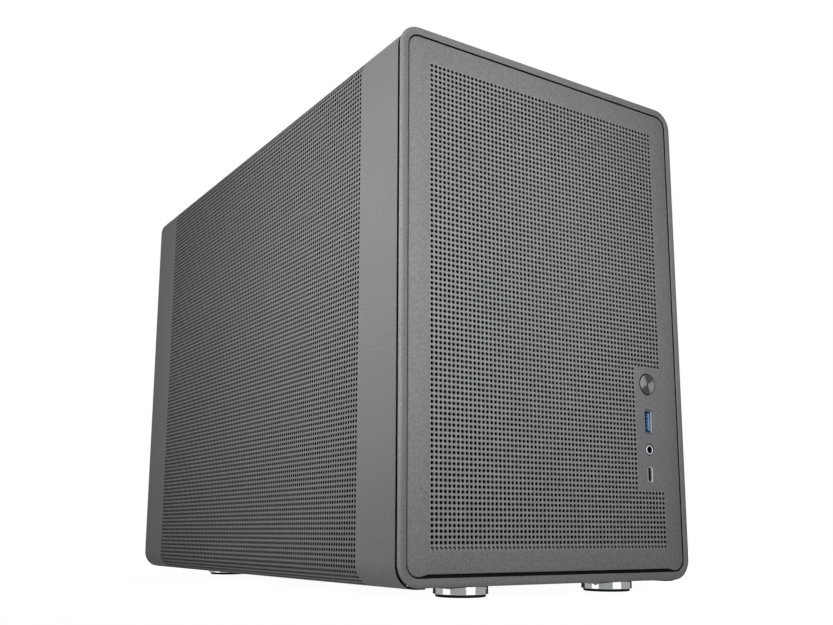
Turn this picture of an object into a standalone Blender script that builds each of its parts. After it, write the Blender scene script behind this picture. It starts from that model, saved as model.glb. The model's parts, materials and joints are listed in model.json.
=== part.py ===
"""Mini tower PC case: an empty micro-ATX enclosure with perforated front, sides and top.

Units are metres, +Z is up and the front faces -Y. The case stands on four feet, with the
origin on the floor under the middle of the case.
"""
import math

import bmesh
import bpy
from mathutils import Matrix, Vector

MM = 0.001

# Whole case
FRAME_WIDTH = 208.0 * MM
FRAME_HEIGHT = 298.2 * MM
CASE_DEPTH = 392.5 * MM
FRAME_RADIUS = 12.2 * MM
FOOT_DROP = 6.0 * MM
BODY_STEP = 0.4 * MM
SEAT = 0.3 * MM
SHEET = 1.0 * MM
FOLD_RADIUS = 2.0 * MM

# Plastic frame round the front
LIP_DEPTH = 1.8 * MM
EDGE_ROUND = 1.2 * MM
BORDER = 4.7 * MM
SKIRT_INSET = 3.0 * MM
SKIRT_WALL = 2.0 * MM
FRAME_DEPTH = 23.7 * MM
LEDGE_INSET = 12.0 * MM
LEDGE_THICKNESS = 2.0 * MM
REAR_FLANGE_INSET = 9.0 * MM

# Perforated front panel, a shallow pan inside the frame
PANEL_GAP = 0.7 * MM
PANEL_RECESS = 0.4 * MM
PANEL_RIM_DEPTH = 2.4 * MM
PANEL_RIM_WALL = 1.2 * MM
PULL_HEIGHT = 1.2 * MM
PULL_WIDTH = 182.0 * MM

# Hole field of the front panel, measured from the outside of the frame
FIELD_TOP_MARGIN = 19.15 * MM
FIELD_BOTTOM_MARGIN = 18.35 * MM
FIELD_SIDE_MARGIN = 19.15 * MM
FRONT_COLUMNS = 7
FRONT_ROWS = 10
OPEN_SHARE = 0.58
BLOCK_FROM_RIGHT = 40.8 * MM
BLOCK_TOP_RISE = 125.9 * MM
BLOCK_BOTTOM_RISE = 52.0 * MM

# Dust filter behind the front panel
FILTER_MARGIN = 3.0 * MM
FILTER_THICKNESS = 1.2 * MM

# Side panels, each bent round the top and bottom edges of the case
PANEL_START = 3.8 * MM
SIDE_WRAP = 16.0 * MM
SIDE_FIELD_START = 42.8 * MM
SIDE_FIELD_END = 40.5 * MM
SIDE_FIELD_MARGIN = 12.5 * MM
SIDE_COLUMNS = 9
SIDE_ROWS = 8

# Top panel
TOP_FOLD = 6.0 * MM
WRAP_GAP = 0.5 * MM
TOP_FIELD_MARGIN = 17.1 * MM
TOP_COLUMNS = 4
TOP_ROWS = 8

# Chassis
CHASSIS_SIDE_GAP = 4.6 * MM
CHASSIS_CLEAR = 0.5 * MM
FRONT_PLATE_GAP = 0.3 * MM
FRONT_FLANGE = 18.0 * MM
REAR_FLANGE = 16.0 * MM
REAR_RECESS = 12.0 * MM
FLOOR_FOLD = 14.0 * MM
FLOOR_SLOT = (90.0 * MM, 7.0 * MM)
FLOOR_SLOT_PITCH = 14.0 * MM
FLOOR_SLOT_START = 60.0 * MM
FLOOR_SLOT_COUNT = 8
ROOF_SIDE_GAP = 6.0 * MM
ROOF_FOLD = 9.0 * MM
ROOF_END_MARGIN = 56.95 * MM
ROOF_SIDE_MARGIN = 30.0 * MM
FRONT_FAN_SHIFT = 14.0 * MM
FRONT_FAN_BRIDGE = 26.0 * MM
FRONT_FAN_MARGIN = 22.4 * MM

# Motherboard tray and its standoffs
TRAY_INSET = 18.0 * MM
TRAY_LENGTH = 251.25 * MM
TRAY_FOLD = 4.6 * MM
COOLER_WINDOW = (90.0 * MM, 84.0 * MM)
COOLER_FROM_REAR = 92.0 * MM
COOLER_DROP = 84.0 * MM
CABLE_HOLE = (20.0 * MM, 34.0 * MM)
CABLE_FROM_REAR = 226.0 * MM
CABLE_DROPS = (70.0 * MM, 190.0 * MM)
STANDOFF_LENGTH = 6.5 * MM
STANDOFF_RADIUS = 3.2 * MM
STANDOFF_FROM_REAR = (12.0 * MM, 169.0 * MM)
STANDOFF_DROPS = (36.0 * MM, 167.0 * MM, 231.0 * MM)

# Rear plate cut-outs
BOARD_FROM_TRAY = 7.5 * MM
IO_WIDTH = 44.5 * MM
IO_DROP = 16.0 * MM
IO_SLOT_GAP = 11.9 * MM
IO_BOARD_OFFSET = 2.0 * MM
SLOT_COUNT = 4
SLOT_PITCH = 20.32 * MM
LAST_SLOT_RISE = 39.84 * MM
SLOT_COVER_HEIGHT = 18.6 * MM
SLOT_OPENING_HEIGHT = 13.6 * MM
SLOT_LENGTH = 104.0 * MM
SLOT_LAP = 5.0 * MM
SLOT_BOARD_OFFSET = 6.5 * MM
SLOT_THICKNESS = 0.9 * MM
SLOT_TAB = 10.5 * MM
CLAMP_FOOT = 15.0 * MM
CLAMP_THICKNESS = 1.2 * MM

# Rear fan
FAN_DEPTH = 25.0 * MM
FAN_RADIUS = 6.0 * MM
FAN_SIDE_GAP = 7.0 * MM
FAN_IO_GAP = 1.0 * MM
FAN_WALL = 2.5 * MM
FAN_SCREW_INSET = 7.5 * MM
FAN_HUB = 20.0 * MM
FAN_HUB_DEPTH = 17.0 * MM
FAN_TIP_CLEARANCE = 1.2 * MM
FAN_BLADES = 7
BLADE_THICKNESS = 1.6 * MM
BLADE_CHORD = 19.0 * MM
BLADE_PITCH = math.radians(38.0)
MOTOR_RADIUS = 18.0 * MM
MOTOR_PLATE = 3.0 * MM
STRUT_WIDTH = 6.0 * MM
STRUT_THICKNESS = 2.4 * MM
AXLE_RADIUS = 2.0 * MM
FAN_VENT_COUNT = 7
FAN_VENT_SHARE = 0.66
FAN_VENT_EDGE = 0.45

# Power supply bracket and drive tray
SUPPLY_DROP = 7.1 * MM
SUPPLY_SIDE_GAP = 24.0 * MM
SUPPLY_EAR = 14.0 * MM
SUPPLY_REACH = 84.0 * MM
SUPPLY_LIP = 8.0 * MM
SUPPLY_WINDOW_MARGIN = 15.0 * MM
SUPPLY_WINDOW_LENGTH = 52.0 * MM
DRIVE_SIDE_GAP = 26.0 * MM
DRIVE_WIDTH = 104.0 * MM
DRIVE_LENGTH = 140.0 * MM
DRIVE_FROM_REAR = 62.5 * MM
DRIVE_WALL = 22.0 * MM
DRIVE_SLOTS = (3, 4)

# Ports and button
PORT_FROM_RIGHT = 29.9 * MM
BUTTON_RISE = 116.0 * MM
WIDE_PORT_RISE = 93.3 * MM
JACK_RISE = 76.4 * MM
NARROW_PORT_RISE = 61.75 * MM
PORT_CLEARANCE = 0.35 * MM
PORT_FACE = 0.7 * MM
BUTTON_RADIUS = 6.4 * MM
BUTTON_FACE = 0.1 * MM
BUTTON_LENGTH = 6.4 * MM
BUTTON_TRAVEL = 1.0 * MM
BUTTON_CHAMFER = 0.5 * MM
WIDE_PORT = (7.2 * MM, 14.2 * MM)
WIDE_PORT_MOUTH = (5.4 * MM, 12.2 * MM)
NARROW_PORT = (4.4 * MM, 9.6 * MM)
NARROW_PORT_MOUTH = (2.6 * MM, 8.0 * MM)
WIDE_PORT_RADIUS = 0.6 * MM
NARROW_PORT_RADIUS = 1.7 * MM
PORT_MOUTH_DEPTH = 9.0 * MM
TONGUE = (1.8 * MM, 10.6 * MM)
TONGUE_LENGTH = 8.0 * MM
JACK_RADIUS = 3.4 * MM
JACK_BORE = 1.8 * MM
JACK_BODY = (9.0 * MM, 7.2 * MM)
JACK_END = 2.0 * MM
BOARD_FACE = 15.4 * MM
BOARD_THICKNESS = 1.6 * MM
BOARD_WIDTH = 20.0 * MM
BOARD_MARGIN = 9.0 * MM
SWITCH_SIZE = 12.0 * MM
SWITCH_DEPTH = 7.0 * MM
PLUNGER_RADIUS = 2.0 * MM
PLUNGER_LENGTH = 3.4 * MM

# Mains inlet
INLET_FROM_LEFT = 40.0 * MM
INLET_RISE = 16.0 * MM
INLET_FLANGE = (48.0 * MM, 23.0 * MM)
INLET_BODY = (27.0 * MM, 19.6 * MM)
INLET_MOUTH = (24.4 * MM, 16.4 * MM)
INLET_MOUTH_DEPTH = 17.0 * MM
INLET_BODY_DEPTH = 24.0 * MM
INLET_FLANGE_THICKNESS = 2.5 * MM

# Feet
FOOT_SIDE = 51.0 * MM
FOOT_FROM_FRONT = 19.0 * MM
FOOT_FROM_REAR = 55.5 * MM
FOOT_RADIUS = 14.3 * MM
FOOT_CHAMFER = 0.6 * MM
PAD_RADIUS = 13.4 * MM
PAD_THICKNESS = 3.0 * MM
PAD_SHOWING = 1.6 * MM

# Snap studs
STUD_BASE = 4.0 * MM
STUD_NECK = 1.6 * MM
STUD_BALL = 2.4 * MM
STUD_BASE_THICKNESS = 1.2 * MM
STUD_CLEARANCE = 0.3 * MM
SIDE_STUD_RISE = 40.0 * MM
SIDE_STUD_INSET = 9.0 * MM
FRONT_STUD_SCALE = 0.62
FRONT_STUD_INSET = 9.3 * MM
FRONT_STUD_RISE = 52.0 * MM

# Screws
SCREW_SHANK = 1.6 * MM
SCREW_HEAD = 3.6 * MM
SCREW_HEAD_THICKNESS = 2.2 * MM
SCREW_LENGTH = 8.0 * MM
THUMB_HEAD = 4.5 * MM
THUMB_HEAD_THICKNESS = 5.0 * MM

# Facets
ARC_STEPS = 5
WRAP_STEPS = 6
FOLD_STEPS = 3
LARGE_SIDES = 36
ROUND_SIDES = 24
SMALL_SIDES = 10
HEX_SIDES = 6
HALF_CORNER = math.radians(45.0)
SHARP_EDGE = math.radians(35.0)

# Levels and faces that follow from the sizes above
FRAME_BOTTOM = FOOT_DROP
FRAME_TOP = FRAME_BOTTOM + FRAME_HEIGHT
FRAME_MIDDLE = FRAME_BOTTOM + FRAME_HEIGHT / 2
FRONT = -CASE_DEPTH / 2
REAR = CASE_DEPTH / 2
FIELD_WIDTH = FRAME_WIDTH - 2 * FIELD_SIDE_MARGIN
FIELD_HEIGHT = FRAME_HEIGHT - FIELD_TOP_MARGIN - FIELD_BOTTOM_MARGIN
FIELD_TOP = FRAME_TOP - FIELD_TOP_MARGIN
FIELD_BOTTOM = FRAME_BOTTOM + FIELD_BOTTOM_MARGIN
BLOCK_LEFT = FRAME_WIDTH / 2 - BLOCK_FROM_RIGHT
BLOCK_TOP = FRAME_BOTTOM + BLOCK_TOP_RISE
BLOCK_BOTTOM = FRAME_BOTTOM + BLOCK_BOTTOM_RISE
SIDE_FIELD_LENGTH = CASE_DEPTH - SIDE_FIELD_START - SIDE_FIELD_END
PORT_X = FRAME_WIDTH / 2 - PORT_FROM_RIGHT
BUTTON_Z = FRAME_BOTTOM + BUTTON_RISE
WIDE_PORT_Z = FRAME_BOTTOM + WIDE_PORT_RISE
JACK_Z = FRAME_BOTTOM + JACK_RISE
NARROW_PORT_Z = FRAME_BOTTOM + NARROW_PORT_RISE
FOOT_X = FRAME_WIDTH / 2 - FOOT_SIDE
BODY_HALF = FRAME_WIDTH / 2 - BODY_STEP
BODY_BOTTOM = FRAME_BOTTOM + BODY_STEP
BODY_TOP = FRAME_TOP - BODY_STEP
BODY_RADIUS = FRAME_RADIUS - BODY_STEP
WRAP_EDGE = BODY_HALF - SIDE_WRAP
LID_HALF = WRAP_EDGE - WRAP_GAP
TOP_FIELD_WIDTH = 2 * (LID_HALF - TOP_FIELD_MARGIN)
CHASSIS_HALF = BODY_HALF - SHEET - CHASSIS_SIDE_GAP
ROOF_HALF = CHASSIS_HALF - ROOF_SIDE_GAP
TRAY_X = CHASSIS_HALF - TRAY_INSET
BOARD_X = TRAY_X - BOARD_FROM_TRAY
SUPPLY_HALF = CHASSIS_HALF - SUPPLY_SIDE_GAP
SUPPLY_Z = FRAME_MIDDLE - SUPPLY_DROP
INLET_X = INLET_FROM_LEFT - CHASSIS_HALF
FLOOR_TOP = BODY_BOTTOM + SHEET
ROOF_TOP = BODY_TOP - TOP_FOLD - SEAT
FRONT_PLATE = FRONT + FRAME_DEPTH + FRONT_PLATE_GAP
REAR_PLATE = REAR - REAR_RECESS
REAR_INSIDE = REAR_PLATE - SHEET
LID_FRONT = FRONT + PANEL_START
INSIDE_TOP = ROOF_TOP - SHEET - SEAT
INSIDE_BOTTOM = FLOOR_TOP + SEAT
LEDGE_FACE = PANEL_RECESS + PANEL_RIM_DEPTH + SEAT
PANEL_WIDTH = FRAME_WIDTH - 2 * (BORDER + PANEL_GAP)
PANEL_HEIGHT = FRAME_HEIGHT - 2 * (BORDER + PANEL_GAP)
PANEL_RADIUS = FRAME_RADIUS - BORDER - PANEL_GAP
BOARD_TOP = BUTTON_Z + BOARD_MARGIN
BOARD_BOTTOM = NARROW_PORT_Z - BOARD_MARGIN
FRONT_FAN_X = -FRONT_FAN_SHIFT
FRONT_FAN_RADIUS = (BODY_TOP - BODY_BOTTOM - 2 * FRONT_FAN_MARGIN - FRONT_FAN_BRIDGE) / 4
FRONT_FAN_PITCH = 2 * FRONT_FAN_RADIUS + FRONT_FAN_BRIDGE

# The rear plate's cut-outs: slots above the floor, the window above them and the fan beside it
SLOT_RIGHT = BOARD_X - SLOT_BOARD_OFFSET
SLOT_LEFT = SLOT_RIGHT - SLOT_LENGTH
SLOTS_TOP = FLOOR_TOP + LAST_SLOT_RISE + (SLOT_COUNT - 1) * SLOT_PITCH + SLOT_COVER_HEIGHT / 2
IO_RIGHT = BOARD_X + IO_BOARD_OFFSET
IO_LEFT = IO_RIGHT - IO_WIDTH
IO_TOP = FRAME_TOP - IO_DROP
IO_BOTTOM = SLOTS_TOP + IO_SLOT_GAP
FAN_SIZE = IO_LEFT - FAN_IO_GAP + CHASSIS_HALF - FAN_SIDE_GAP
FAN_X = IO_LEFT - FAN_IO_GAP - FAN_SIZE / 2
FAN_Z = (SLOTS_TOP + ROOF_TOP - SHEET) / 2
FAN_BORE = FAN_SIZE / 2 - FAN_WALL


def collection(name):
    made = bpy.data.collections.new(name)
    bpy.context.scene.collection.children.link(made)
    return made


def clear_scene():
    for item in list(bpy.data.objects):
        bpy.data.objects.remove(item, do_unlink=True)


def material(name, colour, roughness, metallic):
    made = bpy.data.materials.new(name)
    made.use_nodes = True
    shader = made.node_tree.nodes["Principled BSDF"]
    shader.inputs["Base Color"].default_value = (*colour, 1.0)
    shader.inputs["Roughness"].default_value = roughness
    shader.inputs["Metallic"].default_value = metallic
    made.diffuse_color = (*colour, 1.0)
    return made


clear_scene()
PARTS = collection("mini_tower_pc_case")
TOOLS = collection("cutters")
POWDER_COAT = material("powder_coated_steel", (0.17, 0.17, 0.17), 0.5, 0.3)
FRAME_PLASTIC = material("grey_plastic", (0.15, 0.15, 0.15), 0.5, 0.0)
BLACK_STEEL = material("black_steel", (0.03, 0.03, 0.03), 0.5, 0.3)
FILTER_CLOTH = material("filter_mesh", (0.01, 0.01, 0.01), 0.9, 0.0)
BLACK_PLASTIC = material("black_plastic", (0.02, 0.02, 0.02), 0.5, 0.0)
CHROME = material("chrome", (0.8, 0.8, 0.8), 0.1, 1.0)
RUBBER = material("rubber", (0.01, 0.01, 0.01), 0.9, 0.0)
PORT_STEEL = material("plated_steel", (0.6, 0.6, 0.6), 0.3, 1.0)
BUTTON_METAL = material("turned_metal", (0.2, 0.2, 0.2), 0.35, 1.0)
BLUE_PLASTIC = material("blue_plastic", (0.03, 0.12, 0.5), 0.4, 0.0)
BRASS = material("brass", (0.7, 0.5, 0.2), 0.3, 1.0)
BOARD_GREEN = material("circuit_board", (0.02, 0.1, 0.04), 0.5, 0.0)


def place(name, bm, finish):
    """Turn a bmesh into a named object of the case."""
    mesh = bpy.data.meshes.new(name)
    bm.to_mesh(mesh)
    bm.free()
    made = bpy.data.objects.new(name, mesh)
    PARTS.objects.link(made)
    if finish:
        mesh.materials.append(finish)
    return made


def as_tool(piece):
    """Move a piece to the cutters, where it only shapes others."""
    PARTS.objects.unlink(piece)
    TOOLS.objects.link(piece)
    piece.hide_render = True
    piece.display_type = "WIRE"
    return piece


def combine(target, piece, operation):
    as_tool(piece)
    step = target.modifiers.new(piece.name, "BOOLEAN")
    step.operation = operation
    step.solver = "EXACT"
    step.object = piece


def cut(target, *pieces):
    for piece in pieces:
        combine(target, piece, "DIFFERENCE")


def fuse(target, *pieces):
    for piece in pieces:
        combine(target, piece, "UNION")


def smooth(piece):
    piece.data.shade_smooth()
    piece.data.set_sharp_from_angle(angle=SHARP_EDGE)


def box(name, low, high, finish=None):
    low = Vector(low)
    high = Vector(high)
    bm = bmesh.new()
    bmesh.ops.create_cube(bm, size=1.0, matrix=Matrix.Diagonal((*(high - low), 1.0)))
    made = place(name, bm, finish)
    made.location = (low + high) / 2
    return made


def boxes(name, centres, size):
    """Many equal boxes in one mesh, for cutting a pattern of openings."""
    bm = bmesh.new()
    for centre in centres:
        where = Matrix.Translation(centre) @ Matrix.Diagonal((*size, 1.0))
        bmesh.ops.create_cube(bm, size=1.0, matrix=where)
    return place(name, bm, None)


def cylinder(name, start, end, radius, sides=ROUND_SIDES, finish=None):
    start = Vector(start)
    end = Vector(end)
    bm = bmesh.new()
    bmesh.ops.create_cone(bm, cap_ends=True, segments=sides, radius1=radius, radius2=radius,
                          depth=(end - start).length)
    made = place(name, bm, finish)
    made.location = (start + end) / 2
    made.rotation_euler = (end - start).to_track_quat("Z", "Y").to_euler()
    if finish:
        smooth(made)
    return made


def turned(name, profile, sides, finish):
    """A solid turned about its own Z axis from (radius, height) points that start and end on it."""
    bm = bmesh.new()
    points = [bm.verts.new((radius, 0.0, height)) for radius, height in profile]
    for first, second in zip(points, points[1:]):
        bm.edges.new((first, second))
    made = place(name, bm, finish)
    lathe = made.modifiers.new("turn", "SCREW")
    lathe.axis = "Z"
    lathe.angle = math.tau
    lathe.steps = sides
    lathe.render_steps = sides
    lathe.use_merge_vertices = True
    lathe.merge_threshold = 0.00001
    lathe.use_smooth_shade = True
    return made


def rounded_rectangle(width, height, radius, steps=ARC_STEPS):
    """Outline points of a rectangle with round corners, counter-clockwise."""
    points = []
    for quarter, (side_x, side_y) in enumerate(((1, 1), (-1, 1), (-1, -1), (1, -1))):
        centre = Vector((side_x * (width / 2 - radius), side_y * (height / 2 - radius)))
        for step in range(steps + 1):
            angle = (quarter + step / steps) * math.pi / 2
            points.append(centre + radius * Vector((math.cos(angle), math.sin(angle))))
    return points


def outline_prism(name, outline, centre, depth, finish=None):
    """A flat outline in X and Z, given a depth along Y and centred on a point."""
    curve = bpy.data.curves.new(name, "CURVE")
    curve.dimensions = "2D"
    curve.fill_mode = "BOTH"
    curve.extrude = depth / 2
    spline = curve.splines.new("POLY")
    spline.points.add(len(outline) - 1)
    spline.use_cyclic_u = True
    for point, (x, y) in zip(spline.points, outline):
        point.co = (x, y, 0.0, 1.0)
    drawn = bpy.data.objects.new(name + "_outline", curve)
    PARTS.objects.link(drawn)
    drawn.location = centre
    drawn.rotation_euler = (math.pi / 2, 0.0, 0.0)
    bpy.context.view_layer.update()
    mesh = bpy.data.meshes.new_from_object(drawn.evaluated_get(bpy.context.evaluated_depsgraph_get()))
    mesh.materials.clear()
    if finish:
        mesh.materials.append(finish)
    welded = bmesh.new()
    welded.from_mesh(mesh)
    bmesh.ops.remove_doubles(welded, verts=welded.verts, dist=0.000001)
    welded.to_mesh(mesh)
    welded.free()
    made = bpy.data.objects.new(name, mesh)
    PARTS.objects.link(made)
    made.matrix_world = drawn.matrix_world
    bpy.data.objects.remove(drawn, do_unlink=True)
    return made


def folded_path(corners, radius, steps=FOLD_STEPS):
    """The corner points of a fold line, each inner corner rounded to the given radius."""
    corners = [Vector(corner) for corner in corners]
    path = [corners[0]]
    for before, corner, after in zip(corners, corners[1:], corners[2:]):
        towards_start = (before - corner).normalized()
        towards_end = (after - corner).normalized()
        half_turn = towards_start.angle(towards_end) / 2
        centre = corner + (towards_start + towards_end).normalized() * radius / math.sin(half_turn)
        first = (corner + towards_start * radius / math.tan(half_turn) - centre).normalized()
        last = (corner + towards_end * radius / math.tan(half_turn) - centre).normalized()
        for step in range(steps + 1):
            path.append(centre + radius * first.slerp(last, step / steps))
    path.append(corners[-1])
    return path


def bent_sheet(name, path, sweep, thickness, finish):
    """A bent strip drawn along a vector, thickened on the side that path x sweep points away from."""
    bm = bmesh.new()
    sweep = Vector(sweep)
    near = [bm.verts.new(point) for point in path]
    far = [bm.verts.new(point + sweep) for point in path]
    for index in range(len(path) - 1):
        bm.faces.new((near[index], near[index + 1], far[index + 1], far[index]))
    made = place(name, bm, finish)
    shell = made.modifiers.new("thickness", "SOLIDIFY")
    shell.thickness = thickness
    shell.offset = -1.0
    shell.use_even_offset = True
    return made


def swept_frame(name, section, finish):
    """A closed section of (inset, depth) points carried round the outline of the front frame."""
    bm = bmesh.new()
    rings = []
    for inset, depth in section:
        outline = rounded_rectangle(FRAME_WIDTH - 2 * inset, FRAME_HEIGHT - 2 * inset,
                                    FRAME_RADIUS - inset)
        rings.append([bm.verts.new((x, FRONT + depth, FRAME_MIDDLE + z)) for x, z in outline])
    count = len(rings[0])
    for ring, following in zip(rings, rings[1:] + rings[:1]):
        for index in range(count):
            after = (index + 1) % count
            bm.faces.new((ring[index], ring[after], following[after], following[index]))
    bmesh.ops.recalc_face_normals(bm, faces=bm.faces)
    return place(name, bm, finish)


def grid(start, step, count):
    return [start + step * (index + 0.5) for index in range(count)]


def stud(name, foot, direction, size, reach, finish):
    """A snap stud: a flat base, a neck and a ball that clips into a hole."""
    base = STUD_BASE * size
    ball = STUD_BALL * size
    neck = STUD_NECK * size
    middle = reach - ball
    slant = ball * math.sin(HALF_CORNER)
    profile = [(0.0, reach), (slant, middle + slant), (ball, middle), (neck, middle - ball),
               (neck, STUD_BASE_THICKNESS), (base, STUD_BASE_THICKNESS), (base, 0.0), (0.0, 0.0)]
    made = turned(name, profile, SMALL_SIDES, finish)
    made.location = foot
    made.rotation_euler = Vector(direction).to_track_quat("Z", "Y").to_euler()
    return made


def screw(name, seat, direction, head, head_thickness, finish):
    """A screw whose head sits on a face, with its shank along the direction."""
    profile = [(0.0, SCREW_LENGTH), (SCREW_SHANK, SCREW_LENGTH), (SCREW_SHANK, 0.0), (head, 0.0),
               (head, -head_thickness), (0.0, -head_thickness)]
    made = turned(name, profile, SMALL_SIDES, finish)
    made.location = seat
    made.rotation_euler = Vector(direction).to_track_quat("Z", "Y").to_euler()
    return made


def inside_guide(name):
    """The room inside the side panels, which the chassis plates are trimmed to."""
    width = 2 * (BODY_HALF - SHEET - CHASSIS_CLEAR)
    height = BODY_TOP - BODY_BOTTOM - 2 * (SHEET + SEAT)
    outline = rounded_rectangle(width, height, BODY_RADIUS - SHEET)
    middle = (0.0, 0.0, (BODY_TOP + BODY_BOTTOM) / 2)
    return outline_prism(name, outline, middle, CASE_DEPTH)


def front_frame():
    edge_middle = EDGE_ROUND * (1.0 - math.cos(HALF_CORNER))
    section = [
        (EDGE_ROUND, 0.0), (edge_middle, edge_middle), (0.0, EDGE_ROUND), (0.0, LIP_DEPTH),
        (SKIRT_INSET, LIP_DEPTH), (SKIRT_INSET, FRAME_DEPTH), (REAR_FLANGE_INSET, FRAME_DEPTH),
        (REAR_FLANGE_INSET, FRAME_DEPTH - LEDGE_THICKNESS),
        (SKIRT_INSET + SKIRT_WALL, FRAME_DEPTH - LEDGE_THICKNESS),
        (SKIRT_INSET + SKIRT_WALL, LEDGE_FACE + LEDGE_THICKNESS),
        (LEDGE_INSET, LEDGE_FACE + LEDGE_THICKNESS), (LEDGE_INSET, LEDGE_FACE),
        (BORDER, LEDGE_FACE), (BORDER, 0.0),
    ]
    frame = swept_frame("front_frame", section, FRAME_PLASTIC)
    radius = STUD_BALL * FRONT_STUD_SCALE + STUD_CLEARANCE
    for index, (x, z) in enumerate(front_stud_places()):
        start = (x, FRONT + LEDGE_FACE - SEAT, z)
        end = (x, FRONT + LEDGE_FACE + LEDGE_THICKNESS + SEAT, z)
        cut(frame, cylinder(f"frame_socket_{index}", start, end, radius, SMALL_SIDES))


def front_stud_places():
    half_width = FRAME_WIDTH / 2 - FRONT_STUD_INSET
    heights = (FRAME_BOTTOM + FRONT_STUD_RISE, FRAME_TOP - FRONT_STUD_RISE)
    return [(x, z) for x in (-half_width, half_width) for z in heights]


def front_hole_centres():
    """Centres of the openings of the front panel, without the block kept for the ports."""
    cell = (FIELD_WIDTH / FRONT_COLUMNS, FIELD_HEIGHT / FRONT_ROWS)
    size = (cell[0] * OPEN_SHARE, cell[1] * OPEN_SHARE)
    centres = []
    for x in grid(-FIELD_WIDTH / 2, cell[0], FRONT_COLUMNS):
        for z in grid(FIELD_BOTTOM, cell[1], FRONT_ROWS):
            beside = x + size[0] / 2 > BLOCK_LEFT
            level = z - size[1] / 2 < BLOCK_TOP and z + size[1] / 2 > BLOCK_BOTTOM
            if not (beside and level):
                centres.append((x, FRONT + PANEL_RECESS + SHEET / 2, z))
    return centres, size


def port_hole(name, size, radius, height):
    clearance = 2 * PORT_CLEARANCE
    outline = rounded_rectangle(size[0] + clearance, size[1] + clearance, radius + PORT_CLEARANCE, FOLD_STEPS)
    centre = (PORT_X, FRONT + PANEL_RECESS + SHEET / 2, height)
    return outline_prism(name, outline, centre, 2 * SHEET)


def front_panel():
    outline = rounded_rectangle(PANEL_WIDTH, PANEL_HEIGHT, PANEL_RADIUS)
    middle = FRONT + PANEL_RECESS + PANEL_RIM_DEPTH / 2
    panel = outline_prism("front_panel", outline, (0.0, middle, FRAME_MIDDLE), PANEL_RIM_DEPTH, POWDER_COAT)
    inner = rounded_rectangle(PANEL_WIDTH - 2 * PANEL_RIM_WALL, PANEL_HEIGHT - 2 * PANEL_RIM_WALL,
                              PANEL_RADIUS - PANEL_RIM_WALL)
    pocket_middle = (0.0, middle + SHEET, FRAME_MIDDLE)
    cut(panel, outline_prism("panel_pocket", inner, pocket_middle, PANEL_RIM_DEPTH))

    bottom = FRAME_MIDDLE - PANEL_HEIGHT / 2
    cut(panel, box("panel_pull", (-PULL_WIDTH / 2, FRONT - SHEET, bottom - SHEET),
                   (PULL_WIDTH / 2, FRONT + PANEL_RECESS + SHEET / 2, bottom + PULL_HEIGHT)))
    centres, size = front_hole_centres()
    cut(panel, boxes("panel_holes", centres, (size[0], 3 * SHEET, size[1])))

    face = (PORT_X, FRONT - SHEET, BUTTON_Z)
    back = (PORT_X, FRONT + PANEL_RECESS + 2 * SHEET, BUTTON_Z)
    cut(panel, cylinder("button_hole", face, back, BUTTON_RADIUS + PORT_CLEARANCE))
    cut(panel, port_hole("wide_port_hole", WIDE_PORT, WIDE_PORT_RADIUS, WIDE_PORT_Z))
    face = (PORT_X, FRONT - SHEET, JACK_Z)
    back = (PORT_X, FRONT + PANEL_RECESS + 2 * SHEET, JACK_Z)
    cut(panel, cylinder("jack_hole", face, back, JACK_RADIUS + PORT_CLEARANCE))
    cut(panel, port_hole("narrow_port_hole", NARROW_PORT, NARROW_PORT_RADIUS, NARROW_PORT_Z))


def front_filter():
    face = FRONT + PANEL_RECESS + SHEET + SEAT
    top = FIELD_TOP + FILTER_MARGIN
    bottom = FIELD_BOTTOM - FILTER_MARGIN
    half = FIELD_WIDTH / 2 + FILTER_MARGIN
    sheet = box("front_filter", (-half, face, bottom), (half, face + FILTER_THICKNESS, top), FILTER_CLOTH)
    cut(sheet, box("filter_notch", (BLOCK_LEFT, face - SHEET, BLOCK_BOTTOM),
                   (half + SHEET, face + 2 * SHEET, BLOCK_TOP)))


def front_studs():
    foot_y = FRONT + PANEL_RECESS + SHEET + SEAT
    reach = LEDGE_FACE + LEDGE_THICKNESS + 2 * STUD_BALL * FRONT_STUD_SCALE - (foot_y - FRONT)
    for index, (x, z) in enumerate(front_stud_places()):
        stud(f"front_stud_{index + 1}", (x, foot_y, z), (0.0, 1.0, 0.0), FRONT_STUD_SCALE, reach,
             BLACK_PLASTIC)


def side_stud_places():
    """Depth and height of each side panel's studs, on the flanges of the front and rear plates."""
    depths = (FRONT_PLATE + SIDE_STUD_INSET, REAR_PLATE - SIDE_STUD_INSET)
    heights = (BODY_BOTTOM + SIDE_STUD_RISE, BODY_TOP - SIDE_STUD_RISE)
    return [(y, z) for y in depths for z in heights]


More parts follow.
